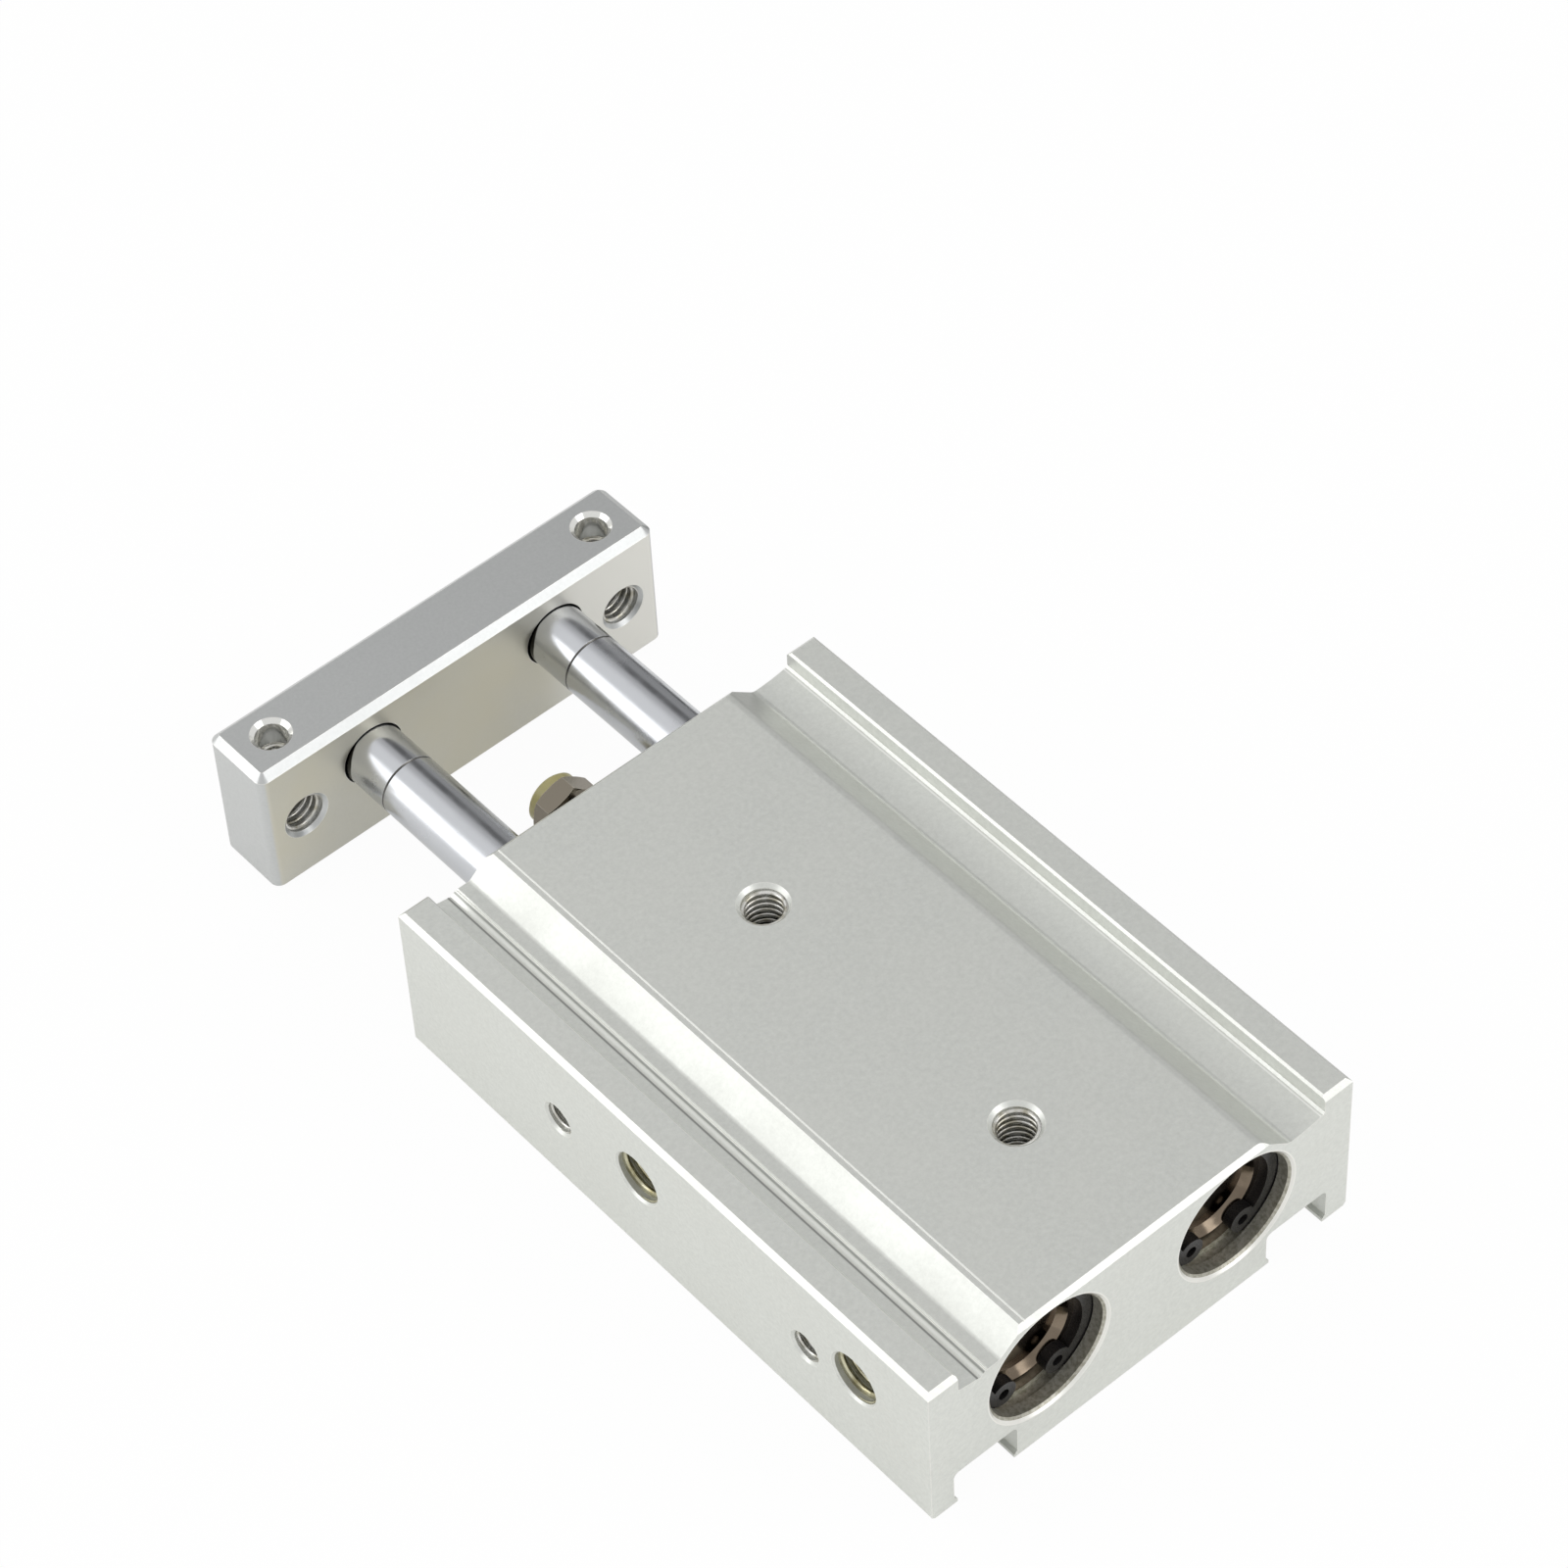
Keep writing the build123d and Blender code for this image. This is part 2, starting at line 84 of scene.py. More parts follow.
Tree = bpy.types.NodeTree
Socket = bpy.types.NodeSocket

MM = 0.001
BODY = "cylinder_body"
RODS = "rod_assembly"
STROKE_SCREW = "stroke_screw"
# Where the bore axes stand, across and above the base.
BORE_AXES_MM = ((-10.25, 10.0), (10.25, 10.0))
# Rear and front face of the plate, and how far its holes are from the middle.
PLATE_Y_MM = (56.0, 63.5)
PLATE_HOLES_MM = 17.9
# Points of a mesh that lie nearer to each other than this are one, in metres.
SAME_POINT = 1e-8
# Levels of a cloudy pattern between which its one tone goes over into the other.
CLOUDS = (0.3, 0.7)
# How far a normal lies along an axis where a face begins to count as square to it, and where it does fully.
SQUARE_ON = (0.85, 0.97)
UPWARDS = (0.0, 0.0, 1.0)
WHITE = (1.0, 1.0, 1.0, 1.0)


def linear(code: str) -> tuple[float, float, float, float]:
    """Turn an sRGB hex code into a linear colour.

    Args:
        code: Six hex digits after a hash.

    Returns:
        Linear red, green and blue, with an alpha of one.
    """
    parts = [int(code[i : i + 2], 16) / 255 for i in (1, 3, 5)]
    # The sRGB curve is straight near black and a power above that.
    red, green, blue = (p / 12.92 if p <= 0.04045 else ((p + 0.055) / 1.055) ** 2.4 for p in parts)
    return (red, green, blue, 1.0)


def scale_of(size_mm: float) -> float:
    """Give the pattern scale that makes a feature of so many millimetres."""
    return 1 / (size_mm * MM)


def add(tree: Tree, kind: str, feeds: dict | None = None, **settings) -> bpy.types.Node:
    """Add a node, set it up and feed its inputs.

    Args:
        tree: The tree that gets the node.
        kind: Type name of the node.
        feeds: The socket or plain value for each input, by the input's name or number.
        settings: Settings of the node itself.

    Returns:
        The new node.
    """
    node = tree.nodes.new(kind)
    for name, value in settings.items():
        setattr(node, name, value)
    for key, value in (feeds or {}).items():
        if isinstance(value, bpy.types.NodeSocket):
            tree.links.new(value, node.inputs[key])
        else:
            node.inputs[key].default_value = value
    return node


def empty_material(name: str) -> bpy.types.Material:
    """Make a material whose tree has no nodes yet.

    Args:
        name: Name of the material.

    Returns:
        The material.
    """
    material = bpy.data.materials.new(name)
    material.use_nodes = True
    material.node_tree.nodes.clear()
    return material


def edge_flatness(tree: Tree, width_mm: float) -> Socket:
    """Compare the surface's normal with that of softly rounded edges.

    Args:
        tree: The material's tree.
        width_mm: Width of the rounding.

    Returns:
        One on flat ground, and less on an edge.
    """
    rounded = add(tree, "ShaderNodeBevel", {"Radius": width_mm * MM}, samples=4).outputs[0]
    flat = add(tree, "ShaderNodeNewGeometry").outputs["Normal"]
    facing = add(tree, "ShaderNodeVectorMath", {0: rounded, 1: flat}, operation="DOT_PRODUCT")
    return facing.outputs["Value"]


def bore_radius(tree: Tree, place: Socket) -> Socket:
    """Measure how far a place lies from the nearer bore axis.

    Args:
        tree: The material's tree.
        place: Object coordinates, in metres.

    Returns:
        The distance, in metres.
    """
    axes = add(tree, "ShaderNodeSeparateXYZ", {0: place}).outputs
    flat = add(tree, "ShaderNodeCombineXYZ", {0: axes[0], 2: axes[2]}).outputs[0]
    left, right = (
        add(tree, "ShaderNodeVectorMath", {0: flat, 1: (across * MM, 0, above * MM)},
            operation="DISTANCE").outputs["Value"]
        for across, above in BORE_AXES_MM
    )
    return add(tree, "ShaderNodeMath", {0: left, 1: right}, operation="MINIMUM").outputs[0]


def kinds_of_ray(tree: Tree) -> tuple[Socket, Socket]:
    """Tell which rays come straight from the camera, and which by way of metal or clear plastic.

    Args:
        tree: The tree that gets the nodes.

    Returns:
        One for each of the two kinds of ray, and zero for the others.
    """
    rays = add(tree, "ShaderNodeLightPath").outputs
    mirrored = add(tree, "ShaderNodeMath", {0: rays["Is Glossy Ray"], 1: rays["Is Transmission Ray"]},
                   operation="ADD", use_clamp=True).outputs[0]
    return rays["Is Camera Ray"], mirrored


# Finishes


@dataclass(frozen=True)
class Finish:
    """What every surface treatment shares.

    Attributes:
        name: What the surface is and how it was made.
        colour: Its colour as an sRGB hex code.
        metallic: One for a bare metal.
        roughness: Spread of its gloss.
    """

    name: str
    colour: str
    metallic: float = 1.0
    roughness: float = 0.4

    def material(self) -> bpy.types.Material:
        """Build the material.

        Returns:
            The material, with its nodes in place.
        """
        material = empty_material(self.name)
        tree = material.node_tree
        place = add(tree, "ShaderNodeTexCoord").outputs["Object"]
        shader = add(tree, "ShaderNodeBsdfPrincipled", self.shader_feeds(tree, place))
        add(tree, "ShaderNodeOutputMaterial", {"Surface": shader.outputs[0]})
        material.diffuse_color = linear(self.colour)
        return material

    def shader_feeds(self, tree: Tree, place: Socket) -> dict:
        """Make what feeds the shader.

        Args:
            tree: The material's tree.
            place: Object coordinates, in metres.

        Returns:
            A socket or value for each input of the shader.
        """
        raise NotImplementedError


@dataclass(frozen=True)
class BlastedAnodised(Finish):
    """Aluminium, fine blasted and clear anodised: a satin grey metal with a sandy sparkle.

    Attributes:
        deep: Colour in the dips of the blasted grain.
        bright: Colour of the painted highlight along sharp edges, and of cuts made after anodising.
        patch: Colour of the warmer patches in the anodised layer.
        patch_share: How strongly the patches show on the faces to the front and rear.
        patch_floor: How much of that shows between the patches.
        patch_edges: How much of the patches shows on all other faces.
        patch_levels: Levels of the mottle at which a patch begins and is full.
        grain_mm: Size of the blasted grain. The real grit leaves 0.05 mm, drawn coarser so that it shows.
        grain_height_mm: How deep the grain looks.
        mottle_mm: Size of the soft uneven patches of the anodised layer.
        gloss_change: How much less and more the gloss spreads from patch to patch.
        streak_mm: Width and length of the die lines along the extrusion.
        streak_share: Their share in the grain.
        edge_mm: Width of the painted highlight along a sharp edge.
        edge_levels: How flat the ground is where that line begins, and where it is full.
    """

    deep: str = "#D9DBD6"
    bright: str = "#F4F3EE"
    patch: str = "#DCDCD6"
    patch_share: float = 0.2
    patch_floor: float = 0.0
    patch_edges: float = 1.0
    patch_levels: tuple[float, float] = (0.36, 0.66)
    grain_mm: float = 0.45
    grain_height_mm: float = 0.01
    mottle_mm: float = 7.0
    gloss_change: tuple[float, float] = (0.03, 0.04)
    streak_mm: tuple[float, float] = (0.4, 40.0)
    streak_share: float = 0.08
    edge_mm: float = 0.1
    edge_levels: tuple[float, float] = (0.995, 0.93)

    def shader_feeds(self, tree: Tree, place: Socket) -> dict:
        """Make the blasted grain, the patches and the painted highlights on the edges.

        Args:
            tree: The material's tree.
            place: Object coordinates, in metres.

        Returns:
            A socket or value for each input of the shader.
        """
        grain = add(tree, "ShaderNodeTexNoise", {"Vector": place, "Scale": scale_of(self.grain_mm),
                                                 "Detail": 4.0, "Roughness": 0.75}).outputs["Fac"]
        mottle = add(tree, "ShaderNodeTexNoise", {"Vector": place, "Scale": scale_of(self.mottle_mm),
                                                  "Detail": 4.0}).outputs["Fac"]
        colour = self.grained(tree, place, grain)
        colour = add(tree, "ShaderNodeMix", {"Factor": self.patches(tree, mottle), "A": colour,
                                             "B": linear(self.patch)}, data_type="RGBA").outputs[2]
        # A painted highlight along the sharp edges.
        colour = add(tree, "ShaderNodeMix", {"Factor": self.edges(tree), "A": colour,
                                             "B": linear(self.bright)}, data_type="RGBA").outputs[2]
        low, high = CLOUDS
        less, more = self.gloss_change
        roughness = add(tree, "ShaderNodeMapRange", {"Value": mottle, "From Min": low, "From Max": high,
                                                     "To Min": self.roughness - less,
                                                     "To Max": self.roughness + more}).outputs[0]
        bump = add(tree, "ShaderNodeBump", {"Height": grain, "Distance": self.grain_height_mm * MM,
                                            "Strength": 0.6}).outputs[0]
        feeds = {"Base Color": colour, "Metallic": self.metallic, "Roughness": roughness, "Normal": bump}
        return self.cuts(tree, place, feeds)

    def grained(self, tree: Tree, place: Socket, grain: Socket) -> Socket:
        """Colour the grain, with the die lines in it.

        Args:
            tree: The material's tree.
            place: Object coordinates, in metres.
            grain: Level of the blasted grain.

        Returns:
            The colour of the grain and its dips.
        """
        width, length = (scale_of(size) for size in self.streak_mm)
        along = add(tree, "ShaderNodeMapping", {"Vector": place, "Scale": (width, length, width)}).outputs[0]
        streak = add(tree, "ShaderNodeTexNoise", {"Vector": along, "Scale": 1.0,
                                                  "Detail": 2.0}).outputs["Fac"]
        wear = add(tree, "ShaderNodeMix", {"Factor": self.streak_share, "A": grain, "B": streak},
                   data_type="FLOAT").outputs[0]
        low, high = CLOUDS
        level = add(tree, "ShaderNodeMapRange", {"Value": wear, "From Min": low, "From Max": high}).outputs[0]
        return add(tree, "ShaderNodeMix", {"Factor": level, "A": linear(self.deep), "B": linear(self.colour)},
                   data_type="RGBA").outputs[2]

    def patches(self, tree: Tree, mottle: Socket) -> Socket:
        """Find the warmer patches.

        Args:
            tree: The material's tree.
            mottle: Level of the soft pattern that they follow.

        Returns:
            How far a patch covers the finish.
        """
        begin, full = self.patch_levels
        warm = add(tree, "ShaderNodeMapRange", {"Value": mottle, "From Min": begin, "From Max": full,
                                                "To Min": self.patch_share * self.patch_floor,
                                                "To Max": self.patch_share}).outputs[0]
        flat = add(tree, "ShaderNodeNewGeometry").outputs["Normal"]
        lengthwise = add(tree, "ShaderNodeSeparateXYZ", {0: flat}).outputs[1]
        lengthwise = add(tree, "ShaderNodeMath", {0: lengthwise}, operation="ABSOLUTE").outputs[0]
        nearly, fully = SQUARE_ON
        broad = add(tree, "ShaderNodeMapRange", {"Value": lengthwise, "From Min": nearly, "From Max": fully,
                                                 "To Min": self.patch_edges}).outputs[0]
        return add(tree, "ShaderNodeMath", {0: warm, 1: broad}, operation="MULTIPLY").outputs[0]

    def edges(self, tree: Tree) -> Socket:
        """Find the sharp edges, where a painted highlight lies.

        Args:
            tree: The material's tree.

        Returns:
            One on an edge and zero elsewhere.
        """
        begin, full = self.edge_levels
        return add(tree, "ShaderNodeMapRange", {"Value": edge_flatness(tree, self.edge_mm), "From Min": begin,
                                                "From Max": full}).outputs[0]

    def cuts(self, tree: Tree, place: Socket, feeds: dict) -> dict:
        """Add what was cut after anodising.

        Args:
            tree: The material's tree.
            place: Object coordinates, in metres.
            feeds: What feeds the shader outside the cuts.

        Returns:
            The same with the cuts added.
        """
        raise NotImplementedError


@dataclass(frozen=True)
class PaintedLightLine:
    """A line or band along the extrusion with painted light in it: dark ones are painted shade in crevices
    and on the cove, light ones painted highlights on edges and slopes.

    Attributes:
        across_mm: Its place across the body.
        half_mm: Half its width.
        colour: What it looks like in the middle.
        strength: How far it covers the finish.
        core: Share of its width that it covers in full.
    """

    across_mm: float
    half_mm: float
    colour: str
    strength: float
    core: float = 0.33

    def drawn(self, tree: Tree, across: Socket, where: Socket, under: Socket) -> Socket:
        """Draw the line over a colour.

        Args:
            tree: The material's tree.
            across: Place across the body, in metres.
            where: One where lines show, and zero elsewhere.
            under: The colour that it covers.

        Returns:
            The colour with the line on it.
        """
        off = add(tree, "ShaderNodeMath", {0: across, 1: self.across_mm * MM},
                  operation="SUBTRACT").outputs[0]
        off = add(tree, "ShaderNodeMath", {0: off}, operation="ABSOLUTE").outputs[0]
        amount = add(tree, "ShaderNodeMapRange", {"Value": off, "From Min": self.half_mm * MM,
                                                  "From Max": self.half_mm * self.core * MM,
                                                  "To Max": self.strength}).outputs[0]
        amount = add(tree, "ShaderNodeMath", {0: amount, 1: where}, operation="MULTIPLY").outputs[0]
        return add(tree, "ShaderNodeMix", {"Factor": amount, "A": under, "B": linear(self.colour)},
                   data_type="RGBA").outputs[2]


@dataclass(frozen=True)
class BoredAnodised(BlastedAnodised):
    """The housing's finish: blasted and anodised outside, with honed bores behind bright turned mouths.

    Attributes:
        bore: Colour of the honed bore walls.
        bore_roughness: Spread of their gloss.
        stain: Colour of the oil stains on them.
        stain_mm: Size of the stains.
        stain_levels: Levels of their pattern at which a stain begins and is full.
        wall_mm: Radius within which a surface belongs to a bore.
        turning_mm: Spacing of the turning marks, drawn coarser than the real 0.08 mm feed.
        turning_depth_mm: How deep they look.
        end_mm: Places of the rear and front face along the body.
        mouth_mm: Depth of the bright bevelled mouths.
        level_floor_mm: Edge and height of the left ledge's lower floor, which shows level.
        painted_light_lines: Painted shade and painted highlight lines along the top of the extrusion, with a
            wide painted shade band on the right cove.
        painted_lines_above_mm: Height above which they lie.
        painted_lines_facing: How far a normal has to point upwards where they lie.
    """

    bore: str = "#BFBDB2"
    bore_roughness: float = 0.36
    stain: str = "#9C998A"
    stain_mm: float = 0.35
    stain_levels: tuple[float, float] = (0.42, 0.62)
    wall_mm: float = 6.62
    turning_mm: float = 0.22
    turning_depth_mm: float = 0.01
    end_mm: tuple[float, float] = (-30.5, 35.5)
    mouth_mm: float = 0.2
    level_floor_mm: tuple[float, float] = (-17.65, 15.3)
    # Painted shade in the left ledge's crevice and fine groove, and painted highlights on its slope, its
    # groove edge, the shoulder and the right flange's foot.
    painted_light_lines: tuple[PaintedLightLine, ...] = (
        PaintedLightLine(-17.87, 0.14, "#7A7B77", 0.8),
        PaintedLightLine(-17.42, 0.16, "#FBFBF8", 0.95),
        PaintedLightLine(-17.17, 0.11, "#8A8B87", 0.8),
        PaintedLightLine(-16.94, 0.11, "#F6F6F2", 0.9),
        PaintedLightLine(-12.62, 0.1, "#F6F6F2", 0.8),
        # A wide painted shade on the right cove's steep slope.
        PaintedLightLine(14.5, 1.45, "#8A8A85", 0.22, core=0.85),
        PaintedLightLine(19.5, 0.11, "#FBFBF8", 0.9),
    )
    painted_lines_above_mm: float = 12.0
    painted_lines_facing: float = 0.4

    def cuts(self, tree: Tree, place: Socket, feeds: dict) -> dict:
        """Add the painted shade and highlight lines, the level ledge, and the bores with their marks and
        bright mouths.

        Args:
            tree: The material's tree.
            place: Object coordinates, in metres.
            feeds: What feeds the shader outside the bores.

        Returns:
            The same with the lines, the ledge and the bores added.
        """
        across, along, above = add(tree, "ShaderNodeSeparateXYZ", {0: place}).outputs
        on_top = self.top(tree, above)
        outside = feeds["Base Color"]
        # Paint the shade and highlight lines over the grain.
        for line in self.painted_light_lines:
            outside = line.drawn(tree, across, on_top, outside)
        inside = add(tree, "ShaderNodeMath", {0: bore_radius(tree, place), 1: self.wall_mm * MM},
                     operation="LESS_THAN").outputs[0]
        colour = add(tree, "ShaderNodeMix", {"Factor": inside, "A": outside,
                                             "B": self.wall_colour(tree, place, along)},
                     data_type="RGBA").outputs[2]
        roughness = add(tree, "ShaderNodeMix", {"Factor": inside, "A": feeds["Roughness"],
                                                "B": self.bore_roughness}, data_type="FLOAT").outputs[0]
        normal = add(tree, "ShaderNodeMix", {"Factor": inside, "A": feeds["Normal"],
                                             "B": self.turning(tree, place)}, data_type="VECTOR").outputs[1]
        edge, height = self.level_floor_mm
        beside = add(tree, "ShaderNodeMath", {0: across, 1: edge * MM}, operation="LESS_THAN").outputs[0]
        below = add(tree, "ShaderNodeMath", {0: above, 1: height * MM}, operation="LESS_THAN").outputs[0]
        level = add(tree, "ShaderNodeMath", {0: beside, 1: below}, operation="MULTIPLY").outputs[0]
        level = add(tree, "ShaderNodeMath", {0: level, 1: on_top}, operation="MULTIPLY").outputs[0]
        normal = add(tree, "ShaderNodeMix", {"Factor": level, "A": normal, "B": UPWARDS},
                     data_type="VECTOR").outputs[1]
        return {**feeds, "Base Color": colour, "Roughness": roughness, "Normal": normal}

    def top(self, tree: Tree, above: Socket) -> Socket:
        """Find the upper surfaces, where the painted shade and highlight lines show.

        Args:
            tree: The material's tree.
            above: Height above the base, in metres.

        Returns:
            One on them and zero elsewhere.
        """
        flat = add(tree, "ShaderNodeNewGeometry").outputs["Normal"]
        upright = add(tree, "ShaderNodeSeparateXYZ", {0: flat}).outputs[2]
        facing_up = add(tree, "ShaderNodeMath", {0: upright, 1: self.painted_lines_facing},
                        operation="GREATER_THAN").outputs[0]
        high = add(tree, "ShaderNodeMath", {0: above, 1: self.painted_lines_above_mm * MM},
                   operation="GREATER_THAN").outputs[0]
        return add(tree, "ShaderNodeMath", {0: high, 1: facing_up}, operation="MULTIPLY").outputs[0]

    def wall_colour(self, tree: Tree, place: Socket, along: Socket) -> Socket:
        """Colour the bore walls, with their stains and bright mouths.

        Args:
            tree: The material's tree.
            place: Object coordinates, in metres.
            along: Place along the body, in metres.

        Returns:
            The walls' colour.
        """
        rear, front = self.end_mm
        middle = (rear + front) / 2
        reach = (front - rear) / 2 - self.mouth_mm
        off = add(tree, "ShaderNodeMath", {0: along, 1: middle * MM}, operation="SUBTRACT").outputs[0]
        off = add(tree, "ShaderNodeMath", {0: off}, operation="ABSOLUTE").outputs[0]
        mouth = add(tree, "ShaderNodeMath", {0: off, 1: reach * MM}, operation="GREATER_THAN").outputs[0]
        stains = add(tree, "ShaderNodeTexNoise", {"Vector": place, "Scale": scale_of(self.stain_mm),
                                                  "Detail": 5.0, "Roughness": 0.65}).outputs["Fac"]
        begin, full = self.stain_levels
        stained = add(tree, "ShaderNodeMapRange", {"Value": stains, "From Min": begin,
                                                   "From Max": full}).outputs[0]
        walls = add(tree, "ShaderNodeMix", {"Factor": stained, "A": linear(self.bore),
                                            "B": linear(self.stain)}, data_type="RGBA").outputs[2]
        return add(tree, "ShaderNodeMix", {"Factor": mouth, "A": walls, "B": linear(self.bright)},
                   data_type="RGBA").outputs[2]

    def turning(self, tree: Tree, place: Socket) -> Socket:
        """Tilt the bore walls by the turning marks.

        Args:
            tree: The material's tree.
            place: Object coordinates, in metres.

        Returns:
            The tilted normal.
        """
        bands_in_a_unit = 20
        marks = add(tree, "ShaderNodeTexWave", {"Vector": place,
                                                "Scale": scale_of(self.turning_mm) / bands_in_a_unit,
                                                "Distortion": 1.0, "Detail": 2.0, "Detail Scale": 2.0},
                    bands_direction="Y").outputs["Fac"]
        return add(tree, "ShaderNodeBump", {"Height": marks, "Distance": self.turning_depth_mm * MM,
                                            "Strength": 0.5}).outputs[0]


@dataclass(frozen=True)
class MilledAnodised(BlastedAnodised):
    """The plate's finish: milled and anodised, then drilled, so its top holes are smooth and bright.

    Attributes:
        drilled: Colour of the drilled walls.
        drilled_roughness: Spread of their gloss.
        hole_mm: Place of the right hole across and along. The left one mirrors it.
        wall_mm: Radius within which a surface belongs to a hole.
        depth_mm: Height of the holes' bottom, of the foot of their bevelled mouth and of its edge.
        pale: Colour of the painted highlight on the rear face's right end.
        pale_mm: Where that begins and where it is full, across the plate.
    """

    drilled: str = "#F2F2EE"
    drilled_roughness: float = 0.13
    hole_mm: tuple[float, float] = (PLATE_HOLES_MM, sum(PLATE_Y_MM) / 2)
    wall_mm: float = 1.93
    depth_mm: tuple[float, float, float] = (10.9, 14.95, 15.335)
    pale: str = "#E6E5DF"
    pale_mm: tuple[float, float] = (7.5, 13.5)

    def cuts(self, tree: Tree, place: Socket, feeds: dict) -> dict:
        """Add the drilled walls and the painted highlight on the rear face's right end.

        Args:
            tree: The material's tree.
            place: Object coordinates, in metres.
            feeds: What feeds the shader elsewhere.

        Returns:
            The same with the holes' colour and gloss and the painted highlight added.
        """
        across, along, above = add(tree, "ShaderNodeSeparateXYZ", {0: place}).outputs
        spoke = self.spoke(tree, across, along)
        far = add(tree, "ShaderNodeVectorMath", {0: spoke}, operation="LENGTH").outputs["Value"]
        near = add(tree, "ShaderNodeMath", {0: far, 1: self.wall_mm * MM}, operation="LESS_THAN").outputs[0]
        bottom, _, edge = self.depth_mm
        within = add(tree, "ShaderNodeMath", {0: above, 1: (bottom + edge) / 2 * MM,
                                              2: (edge - bottom) / 2 * MM}, operation="COMPARE").outputs[0]
        inside = add(tree, "ShaderNodeMath", {0: near, 1: within}, operation="MULTIPLY").outputs[0]
        # A painted highlight on the rear face's right end.
        colour = add(tree, "ShaderNodeMix", {"Factor": self.painted_highlight_end(tree, across), "A": feeds["Base Color"],
                                             "B": linear(self.pale)}, data_type="RGBA").outputs[2]
        colour = add(tree, "ShaderNodeMix", {"Factor": inside, "A": colour, "B": linear(self.drilled)},
                     data_type="RGBA").outputs[2]
        roughness = add(tree, "ShaderNodeMix", {"Factor": inside, "A": feeds["Roughness"],
                                                "B": self.drilled_roughness}, data_type="FLOAT").outputs[0]
        normal = add(tree, "ShaderNodeMix", {"Factor": inside, "A": feeds["Normal"],
                                             "B": self.wall_normal(tree, spoke, above)},
                     data_type="VECTOR").outputs[1]
        return {**feeds, "Base Color": colour, "Roughness": roughness, "Normal": normal}

    def spoke(self, tree: Tree, across: Socket, along: Socket) -> Socket:
        """Point from the axis of the hole on the same side to the surface.

        Args:
            tree: The material's tree.
            across: Place across the plate, in metres.
            along: Place along the body, in metres.

        Returns:
            The way and distance, level with the base.
        """
        hole_across, hole_along = self.hole_mm
        hand = add(tree, "ShaderNodeMath", {0: across}, operation="SIGN").outputs[0]
        axis = add(tree, "ShaderNodeMath", {0: hand, 1: hole_across * MM}, operation="MULTIPLY").outputs[0]
        off_across = add(tree, "ShaderNodeMath", {0: across, 1: axis}, operation="SUBTRACT").outputs[0]
        off_along = add(tree, "ShaderNodeMath", {0: along, 1: hole_along * MM},
                        operation="SUBTRACT").outputs[0]
        return add(tree, "ShaderNodeCombineXYZ", {0: off_across, 1: off_along}).outputs[0]

    def wall_normal(self, tree: Tree, spoke: Socket, above: Socket) -> Socket:
        """Give the walls' own normal: towards the axis, and half upwards on the bevelled mouth.

        Args:
            tree: The material's tree.
            spoke: Way from the hole's axis to the surface.
            above: Height above the base, in metres.

        Returns:
            The normal.
        """
        _, bevel, _ = self.depth_mm
        bevelled = add(tree, "ShaderNodeMath", {0: above, 1: bevel * MM}, operation="GREATER_THAN").outputs[0]
        tip = add(tree, "ShaderNodeCombineXYZ", {2: bevelled}).outputs[0]
        outward = add(tree, "ShaderNodeVectorMath", {0: spoke}, operation="NORMALIZE").outputs[0]
        turned = add(tree, "ShaderNodeVectorMath", {0: tip, 1: outward}, operation="SUBTRACT").outputs[0]
        return add(tree, "ShaderNodeVectorMath", {0: turned}, operation="NORMALIZE").outputs[0]

    def painted_highlight_end(self, tree: Tree, across: Socket) -> Socket:
        """Find the right end of the rear face, where the painted highlight lies.

        Args:
            tree: The material's tree.
            across: Place across the plate, in metres.

        Returns:
            How far the paler tone covers the finish.
        """
        facing = add(tree, "ShaderNodeNewGeometry").outputs["Normal"]
        facing = add(tree, "ShaderNodeSeparateXYZ", {0: facing}).outputs[1]
        nearly, fully = SQUARE_ON
        rear = add(tree, "ShaderNodeMapRange", {"Value": facing, "From Min": -nearly,
                                                "From Max": -fully}).outputs[0]
        begin, full = self.pale_mm
        end = add(tree, "ShaderNodeMapRange", {"Value": across, "From Min": begin * MM,
                                               "From Max": full * MM},
                  interpolation_type="SMOOTHSTEP").outputs[0]
        return add(tree, "ShaderNodeMath", {0: rear, 1: end}, operation="MULTIPLY").outputs[0]


